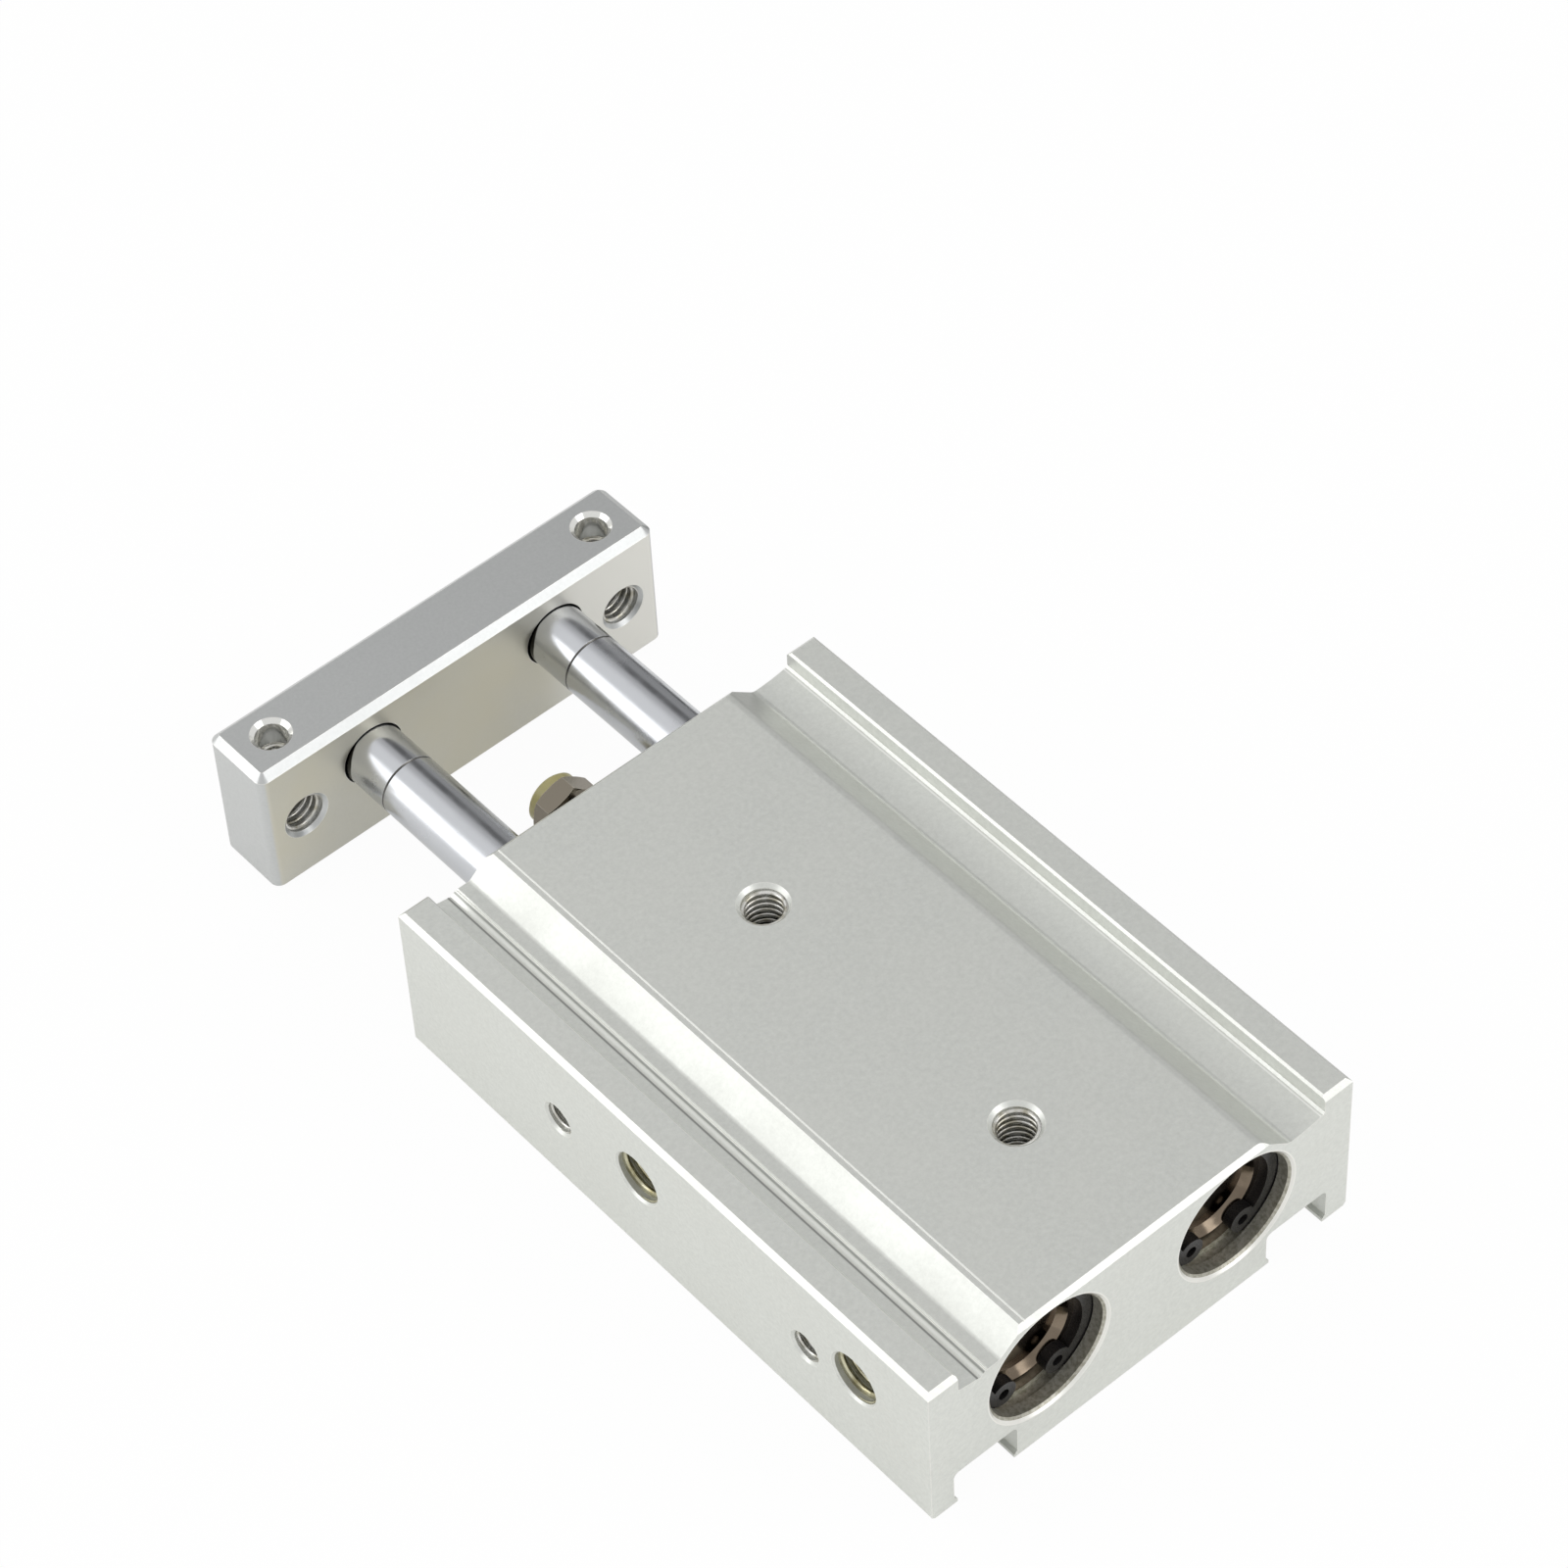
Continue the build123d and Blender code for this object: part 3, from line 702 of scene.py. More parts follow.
@dataclass(frozen=True)
class TurnedMetal(Finish):
    """A lathe-turned metal face: fine rings round its axis that catch the light.

    Attributes:
        tint: Second colour of the oxide or conversion layer, in soft patches.
        feed_mm: Spacing of the turned rings, drawn coarser than the real 0.06 mm feed.
        ring_depth_mm: How deep they look.
        patch_mm: Size of the patches.
        patch_levels: Levels of their pattern at which a patch begins and is full.
        gloss_factors: How much less and more the gloss spreads from patch to patch.
    """

    tint: str = "#808080"
    feed_mm: float = 0.24
    ring_depth_mm: float = 0.002
    patch_mm: float = 2.4
    patch_levels: tuple[float, float] = (0.35, 0.65)
    gloss_factors: tuple[float, float] = (0.8, 1.25)

    def shader_feeds(self, tree: Tree, place: Socket) -> dict:
        """Make the turned rings and the patches of tint.

        Args:
            tree: The material's tree.
            place: Object coordinates, in metres.

        Returns:
            A socket or value for each input of the shader.
        """
        along = add(tree, "ShaderNodeSeparateXYZ", {0: place}).outputs[1]
        phase = add(tree, "ShaderNodeMath", {0: bore_radius(tree, place), 1: along},
                    operation="ADD").outputs[0]
        turns = add(tree, "ShaderNodeMath", {0: phase, 1: scale_of(self.feed_mm) * 2 * pi},
                    operation="MULTIPLY").outputs[0]
        rings = add(tree, "ShaderNodeMath", {0: turns}, operation="SINE").outputs[0]
        patches = add(tree, "ShaderNodeTexNoise", {"Vector": place, "Scale": scale_of(self.patch_mm),
                                                   "Detail": 5.0, "Roughness": 0.6}).outputs["Fac"]
        begin, full = self.patch_levels
        level = add(tree, "ShaderNodeMapRange", {"Value": patches, "From Min": begin,
                                                 "From Max": full}).outputs[0]
        colour = add(tree, "ShaderNodeMix", {"Factor": level, "A": linear(self.colour),
                                             "B": linear(self.tint)}, data_type="RGBA").outputs[2]
        low, high = CLOUDS
        less, more = self.gloss_factors
        roughness = add(tree, "ShaderNodeMapRange", {"Value": patches, "From Min": low, "From Max": high,
                                                     "To Min": self.roughness * less,
                                                     "To Max": self.roughness * more}).outputs[0]
        bump = add(tree, "ShaderNodeBump", {"Height": rings, "Distance": self.ring_depth_mm * MM,
                                            "Strength": 0.5}).outputs[0]
        return {"Base Color": colour, "Metallic": self.metallic, "Roughness": roughness, "Normal": bump}


@dataclass(frozen=True)
class GroundChrome(Finish):
    """Hard chrome on ground steel: a mirror with the finest grinding lines round the rod.

    Attributes:
        line_mm: Length and spacing of the grinding lines. The real ones are 0.02 mm apart, drawn coarser.
        line_depth_mm: How deep they look.
        smear_mm: Size of the faint oil smears.
        smear_levels: Levels of their pattern at which a smear begins and is full.
        smear_factor: How much more the gloss spreads in a smear.
        ring: Colour of the dark line in the turned ring by the plate.
        ring_y_mm: Place of that ring.
        ring_half_mm: Half its width.
        seat: Colour of the painted shade on the rod where it seats in the plate.
        seat_reach_mm: How far the painted shade comes out along the rod.
        seat_way: Direction round the rod in which it comes out furthest.
        seat_turn: How far a normal points that way where the painted shade comes out in full.
        seat_edge_mm: Where the painted shade begins and is full, seen from the plate's rear face.
    """

    line_mm: tuple[float, float] = (8.0, 0.3)
    line_depth_mm: float = 0.001
    smear_mm: float = 3.0
    smear_levels: tuple[float, float] = (0.35, 0.7)
    smear_factor: float = 1.8
    ring: str = "#6C6B68"
    ring_y_mm: float = 50.9
    ring_half_mm: float = 0.11
    seat: str = "#2A2926"
    seat_reach_mm: float = 0.65
    seat_way: tuple[float, float, float] = (-0.882, 0.0, -0.471)
    seat_turn: float = 0.7
    seat_edge_mm: tuple[float, float] = (-0.04, 0.08)

    def shader_feeds(self, tree: Tree, place: Socket) -> dict:
        """Make the grinding lines, the smears, the dark ring line and the painted shade at the plate.

        Args:
            tree: The material's tree.
            place: Object coordinates, in metres.

        Returns:
            A socket or value for each input of the shader.
        """
        length, spacing = (scale_of(size) for size in self.line_mm)
        across = add(tree, "ShaderNodeMapping", {"Vector": place,
                                                 "Scale": (length, spacing, length)}).outputs[0]
        lines = add(tree, "ShaderNodeTexNoise", {"Vector": across, "Scale": 1.0,
                                                 "Detail": 3.0}).outputs["Fac"]
        smears = add(tree, "ShaderNodeTexNoise", {"Vector": place, "Scale": scale_of(self.smear_mm),
                                                  "Detail": 3.0}).outputs["Fac"]
        begin, full = self.smear_levels
        roughness = add(tree, "ShaderNodeMapRange", {"Value": smears, "From Min": begin, "From Max": full,
                                                     "To Min": self.roughness,
                                                     "To Max": self.roughness * self.smear_factor}).outputs[0]
        bump = add(tree, "ShaderNodeBump", {"Height": lines, "Distance": self.line_depth_mm * MM,
                                            "Strength": 0.35}).outputs[0]
        return {"Base Color": self.ringed_and_shaded(tree, place), "Metallic": self.metallic, "Roughness": roughness,
                "Normal": bump}

    def ringed_and_shaded(self, tree: Tree, place: Socket) -> Socket:
        """Colour the rod, with the dark line in its ring and the painted shade where it enters the plate.

        Args:
            tree: The material's tree.
            place: Object coordinates, in metres.

        Returns:
            The rod's colour.
        """
        along = add(tree, "ShaderNodeSeparateXYZ", {0: place}).outputs[1]
        on_ring_line = add(tree, "ShaderNodeMath", {0: along, 1: self.ring_y_mm * MM, 2: self.ring_half_mm * MM},
                    operation="COMPARE").outputs[0]
        colour = add(tree, "ShaderNodeMix", {"Factor": on_ring_line, "A": linear(self.colour),
                                             "B": linear(self.ring)}, data_type="RGBA").outputs[2]
        # Painted shade on the rod's lower left side where it enters the plate.
        flat = add(tree, "ShaderNodeNewGeometry").outputs["Normal"]
        beside = add(tree, "ShaderNodeVectorMath", {0: flat, 1: self.seat_way},
                     operation="DOT_PRODUCT").outputs["Value"]
        reach = add(tree, "ShaderNodeMapRange", {"Value": beside, "From Min": 0.0, "From Max": self.seat_turn,
                                                 "To Max": self.seat_reach_mm * MM}).outputs[0]
        reached = add(tree, "ShaderNodeMath", {0: along, 1: reach}, operation="ADD").outputs[0]
        begin, full = (PLATE_Y_MM[0] + off for off in self.seat_edge_mm)
        seated = add(tree, "ShaderNodeMapRange", {"Value": reached, "From Min": begin * MM,
                                                  "From Max": full * MM}).outputs[0]
        return add(tree, "ShaderNodeMix", {"Factor": seated, "A": colour, "B": linear(self.seat)},
                   data_type="RGBA").outputs[2]


@dataclass(frozen=True)
class TappedMetal(Finish):
    """Bare metal that a tap has cut: bright, smooth flanks with a trace of oil.

    Attributes:
        oil: Colour of the oil's film.
        film_mm: Size of the patches that the film leaves.
        film_levels: Levels of their pattern at which a patch begins and is full.
        gloss_change: How much more the gloss spreads on bare metal, and how much less under the film.
    """

    oil: str = "#B5B1A2"
    film_mm: float = 0.9
    film_levels: tuple[float, float] = (0.4, 0.65)
    gloss_change: tuple[float, float] = (0.08, 0.05)

    def shader_feeds(self, tree: Tree, place: Socket) -> dict:
        """Make the film of oil.

        Args:
            tree: The material's tree.
            place: Object coordinates, in metres.

        Returns:
            A socket or value for each input of the shader.
        """
        film = add(tree, "ShaderNodeTexNoise", {"Vector": place, "Scale": scale_of(self.film_mm),
                                                "Detail": 2.0}).outputs["Fac"]
        begin, full = self.film_levels
        level = add(tree, "ShaderNodeMapRange", {"Value": film, "From Min": begin,
                                                 "From Max": full}).outputs[0]
        colour = add(tree, "ShaderNodeMix", {"Factor": level, "A": linear(self.colour),
                                             "B": linear(self.oil)}, data_type="RGBA").outputs[2]
        more, less = self.gloss_change
        roughness = add(tree, "ShaderNodeMapRange", {"Value": film, "To Min": self.roughness + more,
                                                     "To Max": self.roughness - less}).outputs[0]
        return {"Base Color": colour, "Metallic": self.metallic, "Roughness": roughness}


@dataclass(frozen=True)
class CoatedSteel(Finish):
    """Steel under a thin conversion coat or plating: an even crystalline grain and rubbed edges.

    Attributes:
        rubbed: Colour where the coat is rubbed through on edges.
        rubbed_share: How far it is rubbed through.
        crystal_mm: Size of the crystals, drawn coarser than the real 0.02 mm.
        crystal_depth_mm: How deep they look.
        gloss_change: How much less and more the gloss spreads over a crystal.
        edge_mm: Width of the rubbed edge.
        edge_levels: How flat the ground is where the rubbing begins, and where it is full.
    """

    rubbed: str = "#6E6A62"
    rubbed_share: float = 0.7
    crystal_mm: float = 0.12
    crystal_depth_mm: float = 0.004
    gloss_change: tuple[float, float] = (0.05, 0.08)
    edge_mm: float = 0.06
    edge_levels: tuple[float, float] = (0.99, 0.85)

    def shader_feeds(self, tree: Tree, place: Socket) -> dict:
        """Make the crystals and the rubbed edges.

        Args:
            tree: The material's tree.
            place: Object coordinates, in metres.

        Returns:
            A socket or value for each input of the shader.
        """
        crystals = add(tree, "ShaderNodeTexVoronoi", {"Vector": place,
                                                      "Scale": scale_of(self.crystal_mm)}).outputs[0]
        begin, full = self.edge_levels
        rub = add(tree, "ShaderNodeMapRange", {"Value": edge_flatness(tree, self.edge_mm), "From Min": begin,
                                               "From Max": full, "To Max": self.rubbed_share}).outputs[0]
        colour = add(tree, "ShaderNodeMix", {"Factor": rub, "A": linear(self.colour),
                                             "B": linear(self.rubbed)}, data_type="RGBA").outputs[2]
        less, more = self.gloss_change
        roughness = add(tree, "ShaderNodeMapRange", {"Value": crystals, "To Min": self.roughness - less,
                                                     "To Max": self.roughness + more}).outputs[0]
        bump = add(tree, "ShaderNodeBump", {"Height": crystals, "Distance": self.crystal_depth_mm * MM,
                                            "Strength": 0.4}).outputs[0]
        return {"Base Color": colour, "Metallic": self.metallic, "Roughness": roughness, "Normal": bump}


@dataclass(frozen=True)
class MouldedPolymer(Finish):
    """Rubber or urethane out of a mould: a low satin gloss over a fine mould texture.

    Attributes:
        clear: Share of the light that goes through it.
        texture_mm: Size of the mould's texture.
        texture_depth_mm: How deep it looks.
        gloss_change: How much less and more the gloss spreads over the texture.
    """

    clear: float = 0.0
    texture_mm: float = 0.15
    texture_depth_mm: float = 0.006
    gloss_change: float = 0.08

    def shader_feeds(self, tree: Tree, place: Socket) -> dict:
        """Make the mould's texture.

        Args:
            tree: The material's tree.
            place: Object coordinates, in metres.

        Returns:
            A socket or value for each input of the shader.
        """
        texture = add(tree, "ShaderNodeTexNoise", {"Vector": place, "Scale": scale_of(self.texture_mm),
                                                   "Detail": 2.0}).outputs["Fac"]
        roughness = add(tree, "ShaderNodeMapRange", {"Value": texture,
                                                     "To Min": self.roughness - self.gloss_change,
                                                     "To Max": self.roughness + self.gloss_change}).outputs[0]
        bump = add(tree, "ShaderNodeBump", {"Height": texture, "Distance": self.texture_depth_mm * MM,
                                            "Strength": 0.4}).outputs[0]
        return {"Base Color": linear(self.colour), "Metallic": self.metallic, "Roughness": roughness,
                "IOR": 1.5, "Transmission Weight": self.clear, "Normal": bump}


FINISHES = {
    # The extruded body: even satin grey, near white where it turns to a lamp, with honed bores.
    "anodised_body": BoredAnodised("blasted_anodised_extrusion", "#E7E9E4", metallic=0.7, roughness=0.4),
    # The plate is milled before the same anodising, so it is smoother and mirrors more of the room.
    "anodised_plate": MilledAnodised("milled_anodised_plate", "#CFD1D1", metallic=0.8, roughness=0.34,
                                     deep="#C6C8C8", patch="#D4D0BE", patch_share=0.95, patch_floor=0.6,
                                     patch_edges=0.05, grain_mm=0.3, grain_height_mm=0.004, mottle_mm=12.0,
                                     streak_mm=(0.35, 0.35)),
    # Turned aluminium under a yellow chromate: brown-gold, close to a mirror.
    "machined_cover": TurnedMetal("turned_chromated_aluminium", "#86796A", roughness=0.14,
                                  tint="#74685A"),
    # Sintered bronze bearing, turned to size: dull gold.
    "bearing_alloy": TurnedMetal("turned_bearing_bronze", "#B8975A", roughness=0.3, tint="#9C8050"),
    # Nitrile rubber seals: near black with a low gloss.
    "seal_rubber": MouldedPolymer("moulded_nitrile_rubber", "#1D1D1E", metallic=0.0, roughness=0.45),
    # Stamped spring steel under phosphate: black, a little oily.
    "spring_steel": CoatedSteel("phosphated_spring_steel", "#3B3A3B", metallic=0.75, roughness=0.28),
    # Ground and hard chromed rods: a cool mirror, with a painted shade where they enter the plate.
    "hard_chrome": GroundChrome("ground_hard_chrome", "#CDCFD3", roughness=0.17),
    # Turned aluminium pistons: bright and plain.
    "piston_alloy": TurnedMetal("turned_piston_aluminium", "#D6D6D4", roughness=0.28, tint="#C6C6C4"),
    # Plastic bonded magnet: dull dark grey.
    "bonded_magnet": MouldedPolymer("bonded_ferrite_magnet", "#3A3A3C", metallic=0.0, roughness=0.55),
    # Cast polyurethane stops: clear yellow, soft gloss.
    "urethane": MouldedPolymer("cast_polyurethane", "#CFC68C", metallic=0.0, roughness=0.32, clear=0.35),
    # Black oxide on socket screws: dark and satin.
    "black_steel": CoatedSteel("black_oxide_steel", "#26262A", metallic=0.7, roughness=0.36,
                               rubbed="#77777A"),
    # Zinc plated screw and nut, brown-grey where they mirror the room.
    "zinc_steel": CoatedSteel("zinc_plated_steel", "#857E72", roughness=0.13, rubbed="#D8D2C4",
                              crystal_mm=0.2),
}
# Threads tapped after anodising: bare bright aluminium, smooth from the tap.
TAPPED_ALUMINIUM = TappedMetal("tapped_bare_aluminium", "#E9E8E4", metallic=0.85, roughness=0.24)
# The ports' threads are olive, with darker patches.
OLIVE_TAPPED_ALUMINIUM = TappedMetal("olive_tapped_aluminium", "#CFCBB0", roughness=0.2, oil="#9C9470")


# Threads


class Side(Enum):
    """Where a thread's ridge stands from the surface that carries it."""

    IN_A_HOLE = -1.0
    ON_A_SHANK = 1.0


@dataclass(frozen=True)
class Thread:
    """The ridge of a metric thread, cut as one helix.

    Attributes:
        radius_mm: Radius of the surface that carries the ridge.
        pitch_mm: Distance from turn to turn.
        height_mm: How far the ridge stands out.
        side: Whether it stands into a hole or out of a shank.
        root: Width of the ridge where it stands on the wall, in pitches.
        crest: Its width at the crest, in pitches.
        run_out: Turns over which it grows out of the wall, and sinks back into it at the other end.
        tip: Its size at either end, where the full ridge is one.
        steps: Points of the helix in a turn.
    """

    radius_mm: float
    pitch_mm: float
    height_mm: float
    side: Side = Side.IN_A_HOLE
    root: float = 0.86
    crest: float = 0.2
    run_out: float = 0.35
    tip: float = 0.05
    steps: int = 40

    def tree(self) -> bpy.types.GeometryNodeTree:
        """Build the tree that winds a ridge at every point, along the point's inward direction.

        Returns:
            The tree, with named inputs for the thread's sizes.
        """
        tree = bpy.data.node_groups.new("thread_ridge", "GeometryNodeTree")
        face = tree.interface
        face.new_socket("Mouths", in_out="INPUT", socket_type="NodeSocketGeometry")
        for name in ("Radius", "Pitch", "Height", "Length", "Side"):
            face.new_socket(name, in_out="INPUT", socket_type="NodeSocketFloat")
        face.new_socket("Finish", in_out="INPUT", socket_type="NodeSocketMaterial")
        face.new_socket("Ridges", in_out="OUTPUT", socket_type="NodeSocketGeometry")
        given = add(tree, "NodeGroupInput").outputs
        turns = add(tree, "ShaderNodeMath", {0: given["Length"], 1: given["Pitch"]},
                    operation="DIVIDE").outputs[0]
        helix = add(tree, "GeometryNodeCurveSpiral", {
            "Resolution": self.steps, "Rotations": turns, "Start Radius": given["Radius"],
            "End Radius": given["Radius"], "Height": given["Length"], "Reverse": False}).outputs[0]
        helix = add(tree, "GeometryNodeSetCurveNormal", {"Curve": helix}, mode="Z_UP").outputs[0]
        section = self.section(tree, given["Pitch"], given["Height"], given["Side"])
        ridge = add(tree, "GeometryNodeCurveToMesh", {
            "Curve": helix, "Profile Curve": section, "Scale": self.growth(tree, turns),
            "Fill Caps": True}).outputs[0]
        inward = add(tree, "GeometryNodeInputNamedAttribute", {"Name": "inward"},
                     data_type="FLOAT_VECTOR").outputs[0]
        turn = add(tree, "FunctionNodeAlignRotationToVector", {"Vector": inward}, axis="Z").outputs[0]
        placed = add(tree, "GeometryNodeInstanceOnPoints", {"Points": given["Mouths"], "Instance": ridge,
                                                            "Rotation": turn}).outputs[0]
        real = add(tree, "GeometryNodeRealizeInstances", {"Geometry": placed}).outputs[0]
        dressed = add(tree, "GeometryNodeSetMaterial", {"Geometry": real,
                                                        "Material": given["Finish"]}).outputs[0]
        add(tree, "NodeGroupOutput", {"Ridges": dressed})
        return tree

    def growth(self, tree: Tree, turns: Socket) -> Socket:
        """Let the ridge grow out of the wall at one end and sink back into it at the other.

        Args:
            tree: The tree that gets the nodes.
            turns: How many turns the ridge has.

        Returns:
            Size of the ridge along the helix.
        """
        along = add(tree, "GeometryNodeSplineParameter").outputs["Factor"]
        back = add(tree, "ShaderNodeMath", {0: 1.0, 1: along}, operation="SUBTRACT").outputs[0]
        near = add(tree, "ShaderNodeMath", {0: along, 1: back}, operation="MINIMUM").outputs[0]
        grown = add(tree, "ShaderNodeMath", {0: near, 1: turns}, operation="MULTIPLY").outputs[0]
        return add(tree, "ShaderNodeMapRange", {"Value": grown, "From Max": self.run_out,
                                                "To Min": self.tip}).outputs[0]

    def section(self, tree: Tree, pitch: Socket, height: Socket, side: Socket) -> Socket:
        """Draw the ridge's section, standing on the wall.

        Args:
            tree: The tree that gets the nodes.
            pitch: Distance from turn to turn.
            height: How far the ridge stands out.
            side: The value of the side that it stands out to.

        Returns:
            The section's curve.
        """
        root = add(tree, "ShaderNodeMath", {0: pitch, 1: self.root}, operation="MULTIPLY").outputs[0]
        crest = add(tree, "ShaderNodeMath", {0: pitch, 1: self.crest}, operation="MULTIPLY").outputs[0]
        section = add(tree, "GeometryNodeCurvePrimitiveQuadrilateral", {
            "Bottom Width": root, "Top Width": crest, "Height": height, "Offset": 0.0},
            mode="TRAPEZOID").outputs[0]
        half = add(tree, "ShaderNodeMath", {0: height, 1: 0.5}, operation="MULTIPLY").outputs[0]
        lift = add(tree, "ShaderNodeCombineXYZ", {1: half}).outputs[0]
        flip = add(tree, "ShaderNodeCombineXYZ", {0: side, 1: 1.0, 2: 1.0}).outputs[0]
        for step in ({"Translation": lift}, {"Rotation": (0.0, 0.0, pi / 2)}, {"Scale": flip}):
            section = add(tree, "GeometryNodeTransform", {"Geometry": section, **step}).outputs[0]
        return section

    def cut(self, name: str, mouths: list[tuple[Vector, Vector]], length_mm: float,
            finish: bpy.types.Material) -> bpy.types.Object:
        """Wind the ridge in every hole of a size.

        Args:
            name: Name of the piece.
            mouths: Where each ridge starts, in millimetres, and the direction that it runs in.
            length_mm: Length of the thread.
            finish: The ridges' material.

        Returns:
            One plain mesh with all the ridges.
        """
        seed = bpy.data.meshes.new(name)
        seed.from_pydata([point * MM for point, _ in mouths], [], [])
        inward = seed.attributes.new("inward", "FLOAT_VECTOR", "POINT")
        inward.data.foreach_set("vector", [part for _, way in mouths for part in way])
        seeds = bpy.data.objects.new(name + "_mouths", seed)
        bpy.context.collection.objects.link(seeds)
        tree = self.tree()
        modifier = seeds.modifiers.new("ridges", "NODES")
        modifier.node_group = tree
        values = {"Radius": self.radius_mm * MM, "Pitch": self.pitch_mm * MM, "Height": self.height_mm * MM,
                  "Length": length_mm * MM, "Side": self.side.value, "Finish": finish}
        for socket in tree.interface.items_tree:
            if socket.in_out == "INPUT" and socket.name in values:
                modifier[socket.identifier] = values[socket.name]
        evaluated = seeds.evaluated_get(bpy.context.evaluated_depsgraph_get())
        mesh = bpy.data.meshes.new_from_object(evaluated)
        bpy.data.objects.remove(seeds)
        faces_out(mesh)
        mesh.name = name
        piece = bpy.data.objects.new(name, mesh)
        bpy.context.collection.objects.link(piece)
        return piece


def faces_out(mesh: bpy.types.Mesh) -> None:
    """Turn every face of a closed mesh outwards.

    Args:
        mesh: The mesh to put right.
    """
    work = bmesh.new()
    work.from_mesh(mesh)
    bmesh.ops.remove_doubles(work, verts=work.verts, dist=SAME_POINT)
    bmesh.ops.recalc_face_normals(work, faces=work.faces)
    work.to_mesh(mesh)
    work.free()


@dataclass(frozen=True)
class TappedHole:
    """One kind of tapped hole and the places where it is drilled.

    Attributes:
        name: Name of the piece with its threads.
        body: Body that the threads ride on.
        slot: Material slot that they belong to.
        thread: The thread's sizes.
        start_mm: How far below the mouth the thread starts.
        length_mm: Length of the thread.
        mouths_mm: Middle of each mouth, and the direction into the hole.
        finish: What the tap leaves.
    """

    name: str
    body: str
    slot: str
    thread: Thread
    start_mm: float
    length_mm: float
    mouths_mm: tuple[tuple[tuple[float, float, float], tuple[int, int, int]], ...]
    finish: Finish = TAPPED_ALUMINIUM

    def build(self) -> bpy.types.Object:
        """Cut the threads and let them ride on their body.

        Returns:
            The piece with the ridges.
        """
        starts = [(Vector(mouth) + Vector(way) * self.start_mm, Vector(way)) for mouth, way in self.mouths_mm]
        piece = self.thread.cut(self.name, starts, self.length_mm, self.finish.material())
        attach(piece, self.body)
        return piece


@dataclass
class ThreadSet:
    """Every visible thread of the cylinder.

    Attributes:
        mount_y_mm: Places of the mounting holes along the body.
        half_width_mm: From the middle to the side faces.
        top_mm: Height of the flat top.
        side_mm: Height of the side mounting holes.
        port_y_mm: Places of the air ports along the body.
        port_height_mm: Height of the air ports.
        plate_half_mm: From the middle to the plate's holes.
        plate_hole_mm: Height of the holes through the plate.
        plate_top_mm: Top of the plate.
        adjuster_mm: Height of the stroke screw's axis.
        shank_y_mm: Where the screw's visible thread starts and ends.
    """

    mount_y_mm: tuple[float, float] = (-15.5, 15.5)
    half_width_mm: float = 23.0
    top_mm: float = 17.0
    side_mm: float = 8.0
    port_y_mm: tuple[float, float] = (-21.5, 5.2)
    port_height_mm: float = 10.0
    plate_half_mm: float = PLATE_HOLES_MM
    plate_hole_mm: float = 7.75
    plate_top_mm: float = 15.35
    adjuster_mm: float = 5.8
    shank_y_mm: tuple[float, float] = (37.6, 41.4)

    def holes(self) -> list[TappedHole]:
        """List the threads by size and body.

        Returns:
            One entry for each kind of tapped hole.
        """
        m3 = Thread(radius_mm=1.5, pitch_mm=0.5, height_mm=0.25)
        m4 = Thread(radius_mm=2.0, pitch_mm=0.7, height_mm=0.34)
        m5 = Thread(radius_mm=2.5, pitch_mm=0.8, height_mm=0.4)
        # The screw's ridge is low enough to clear the hole that it turns in.
        m3_screw = Thread(radius_mm=1.43, pitch_mm=0.5, height_mm=0.05, side=Side.ON_A_SHANK)
        rear, front = PLATE_Y_MM
        inner, outer = self.shank_y_mm
        signs = (-1, 1)
        up, down = (0, 0, 1), (0, 0, -1)
        return [
            TappedHole("top_mount_threads", BODY, "anodised_body", m4, start_mm=0.32, length_mm=7.5,
                       mouths_mm=tuple(((0, y, self.top_mm), down) for y in self.mount_y_mm)),
            TappedHole("base_mount_threads", BODY, "anodised_body", m4, start_mm=0.32, length_mm=4.5,
                       mouths_mm=tuple(((0, y, 0), up) for y in self.mount_y_mm)),
            TappedHole("side_mount_threads", BODY, "anodised_body", m3, start_mm=0.22, length_mm=4.5,
                       mouths_mm=tuple(((s * self.half_width_mm, y, self.side_mm), (-s, 0, 0))
                                       for y in self.mount_y_mm for s in signs)),
            TappedHole("port_threads", BODY, "anodised_body", m5, start_mm=0.3, length_mm=4.5,
                       mouths_mm=tuple(((-self.half_width_mm, y, self.port_height_mm), (1, 0, 0))
                                       for y in self.port_y_mm),
                       finish=OLIVE_TAPPED_ALUMINIUM),
            TappedHole("plate_through_threads", RODS, "anodised_plate", m4, start_mm=0.32, length_mm=6.86,
                       mouths_mm=tuple(((s * self.plate_half_mm, rear, self.plate_hole_mm), (0, 1, 0))
                                       for s in signs)),
            TappedHole("plate_top_threads", RODS, "anodised_plate", m3, start_mm=2.8, length_mm=1.4,
                       mouths_mm=tuple(((s * self.plate_half_mm, (rear + front) / 2, self.plate_top_mm), down)
                                       for s in signs)),
            TappedHole("stroke_screw_thread", STROKE_SCREW, "zinc_steel", m3_screw, start_mm=0.0,
                       length_mm=outer - inner, mouths_mm=(((0, inner, self.adjuster_mm), (0, 1, 0)),),
                       finish=FINISHES["zinc_steel"]),
        ]

    def build(self) -> list[bpy.types.Object]:
        """Cut every thread.

        Returns:
            The pieces with the ridges.
        """
        return [hole.build() for hole in self.holes()]


# The CAD's own solids


@dataclass
class SolidParts:
    """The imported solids, which keep their shape and get their real finishes.

    Attributes:
    """

    frame: dict

    def dress(self) -> dict[str, int]:
        """Give every solid the finish of its material slot.

        Returns:
            How many solids got each finish.
        """
        counts: dict[str, int] = {}
        made = {slot: finish.material() for slot, finish in FINISHES.items()}
        slots = {part["node"]: part["material_slot"] for part in self.frame["record"]["subparts"]}
        for name, solid in self.frame["nodes"].items():
            slot = slots[name]
            solid.data.materials.clear()
            solid.data.materials.append(made[slot])
            counts[slot] = counts.get(slot, 0) + 1
        return counts


# Studio


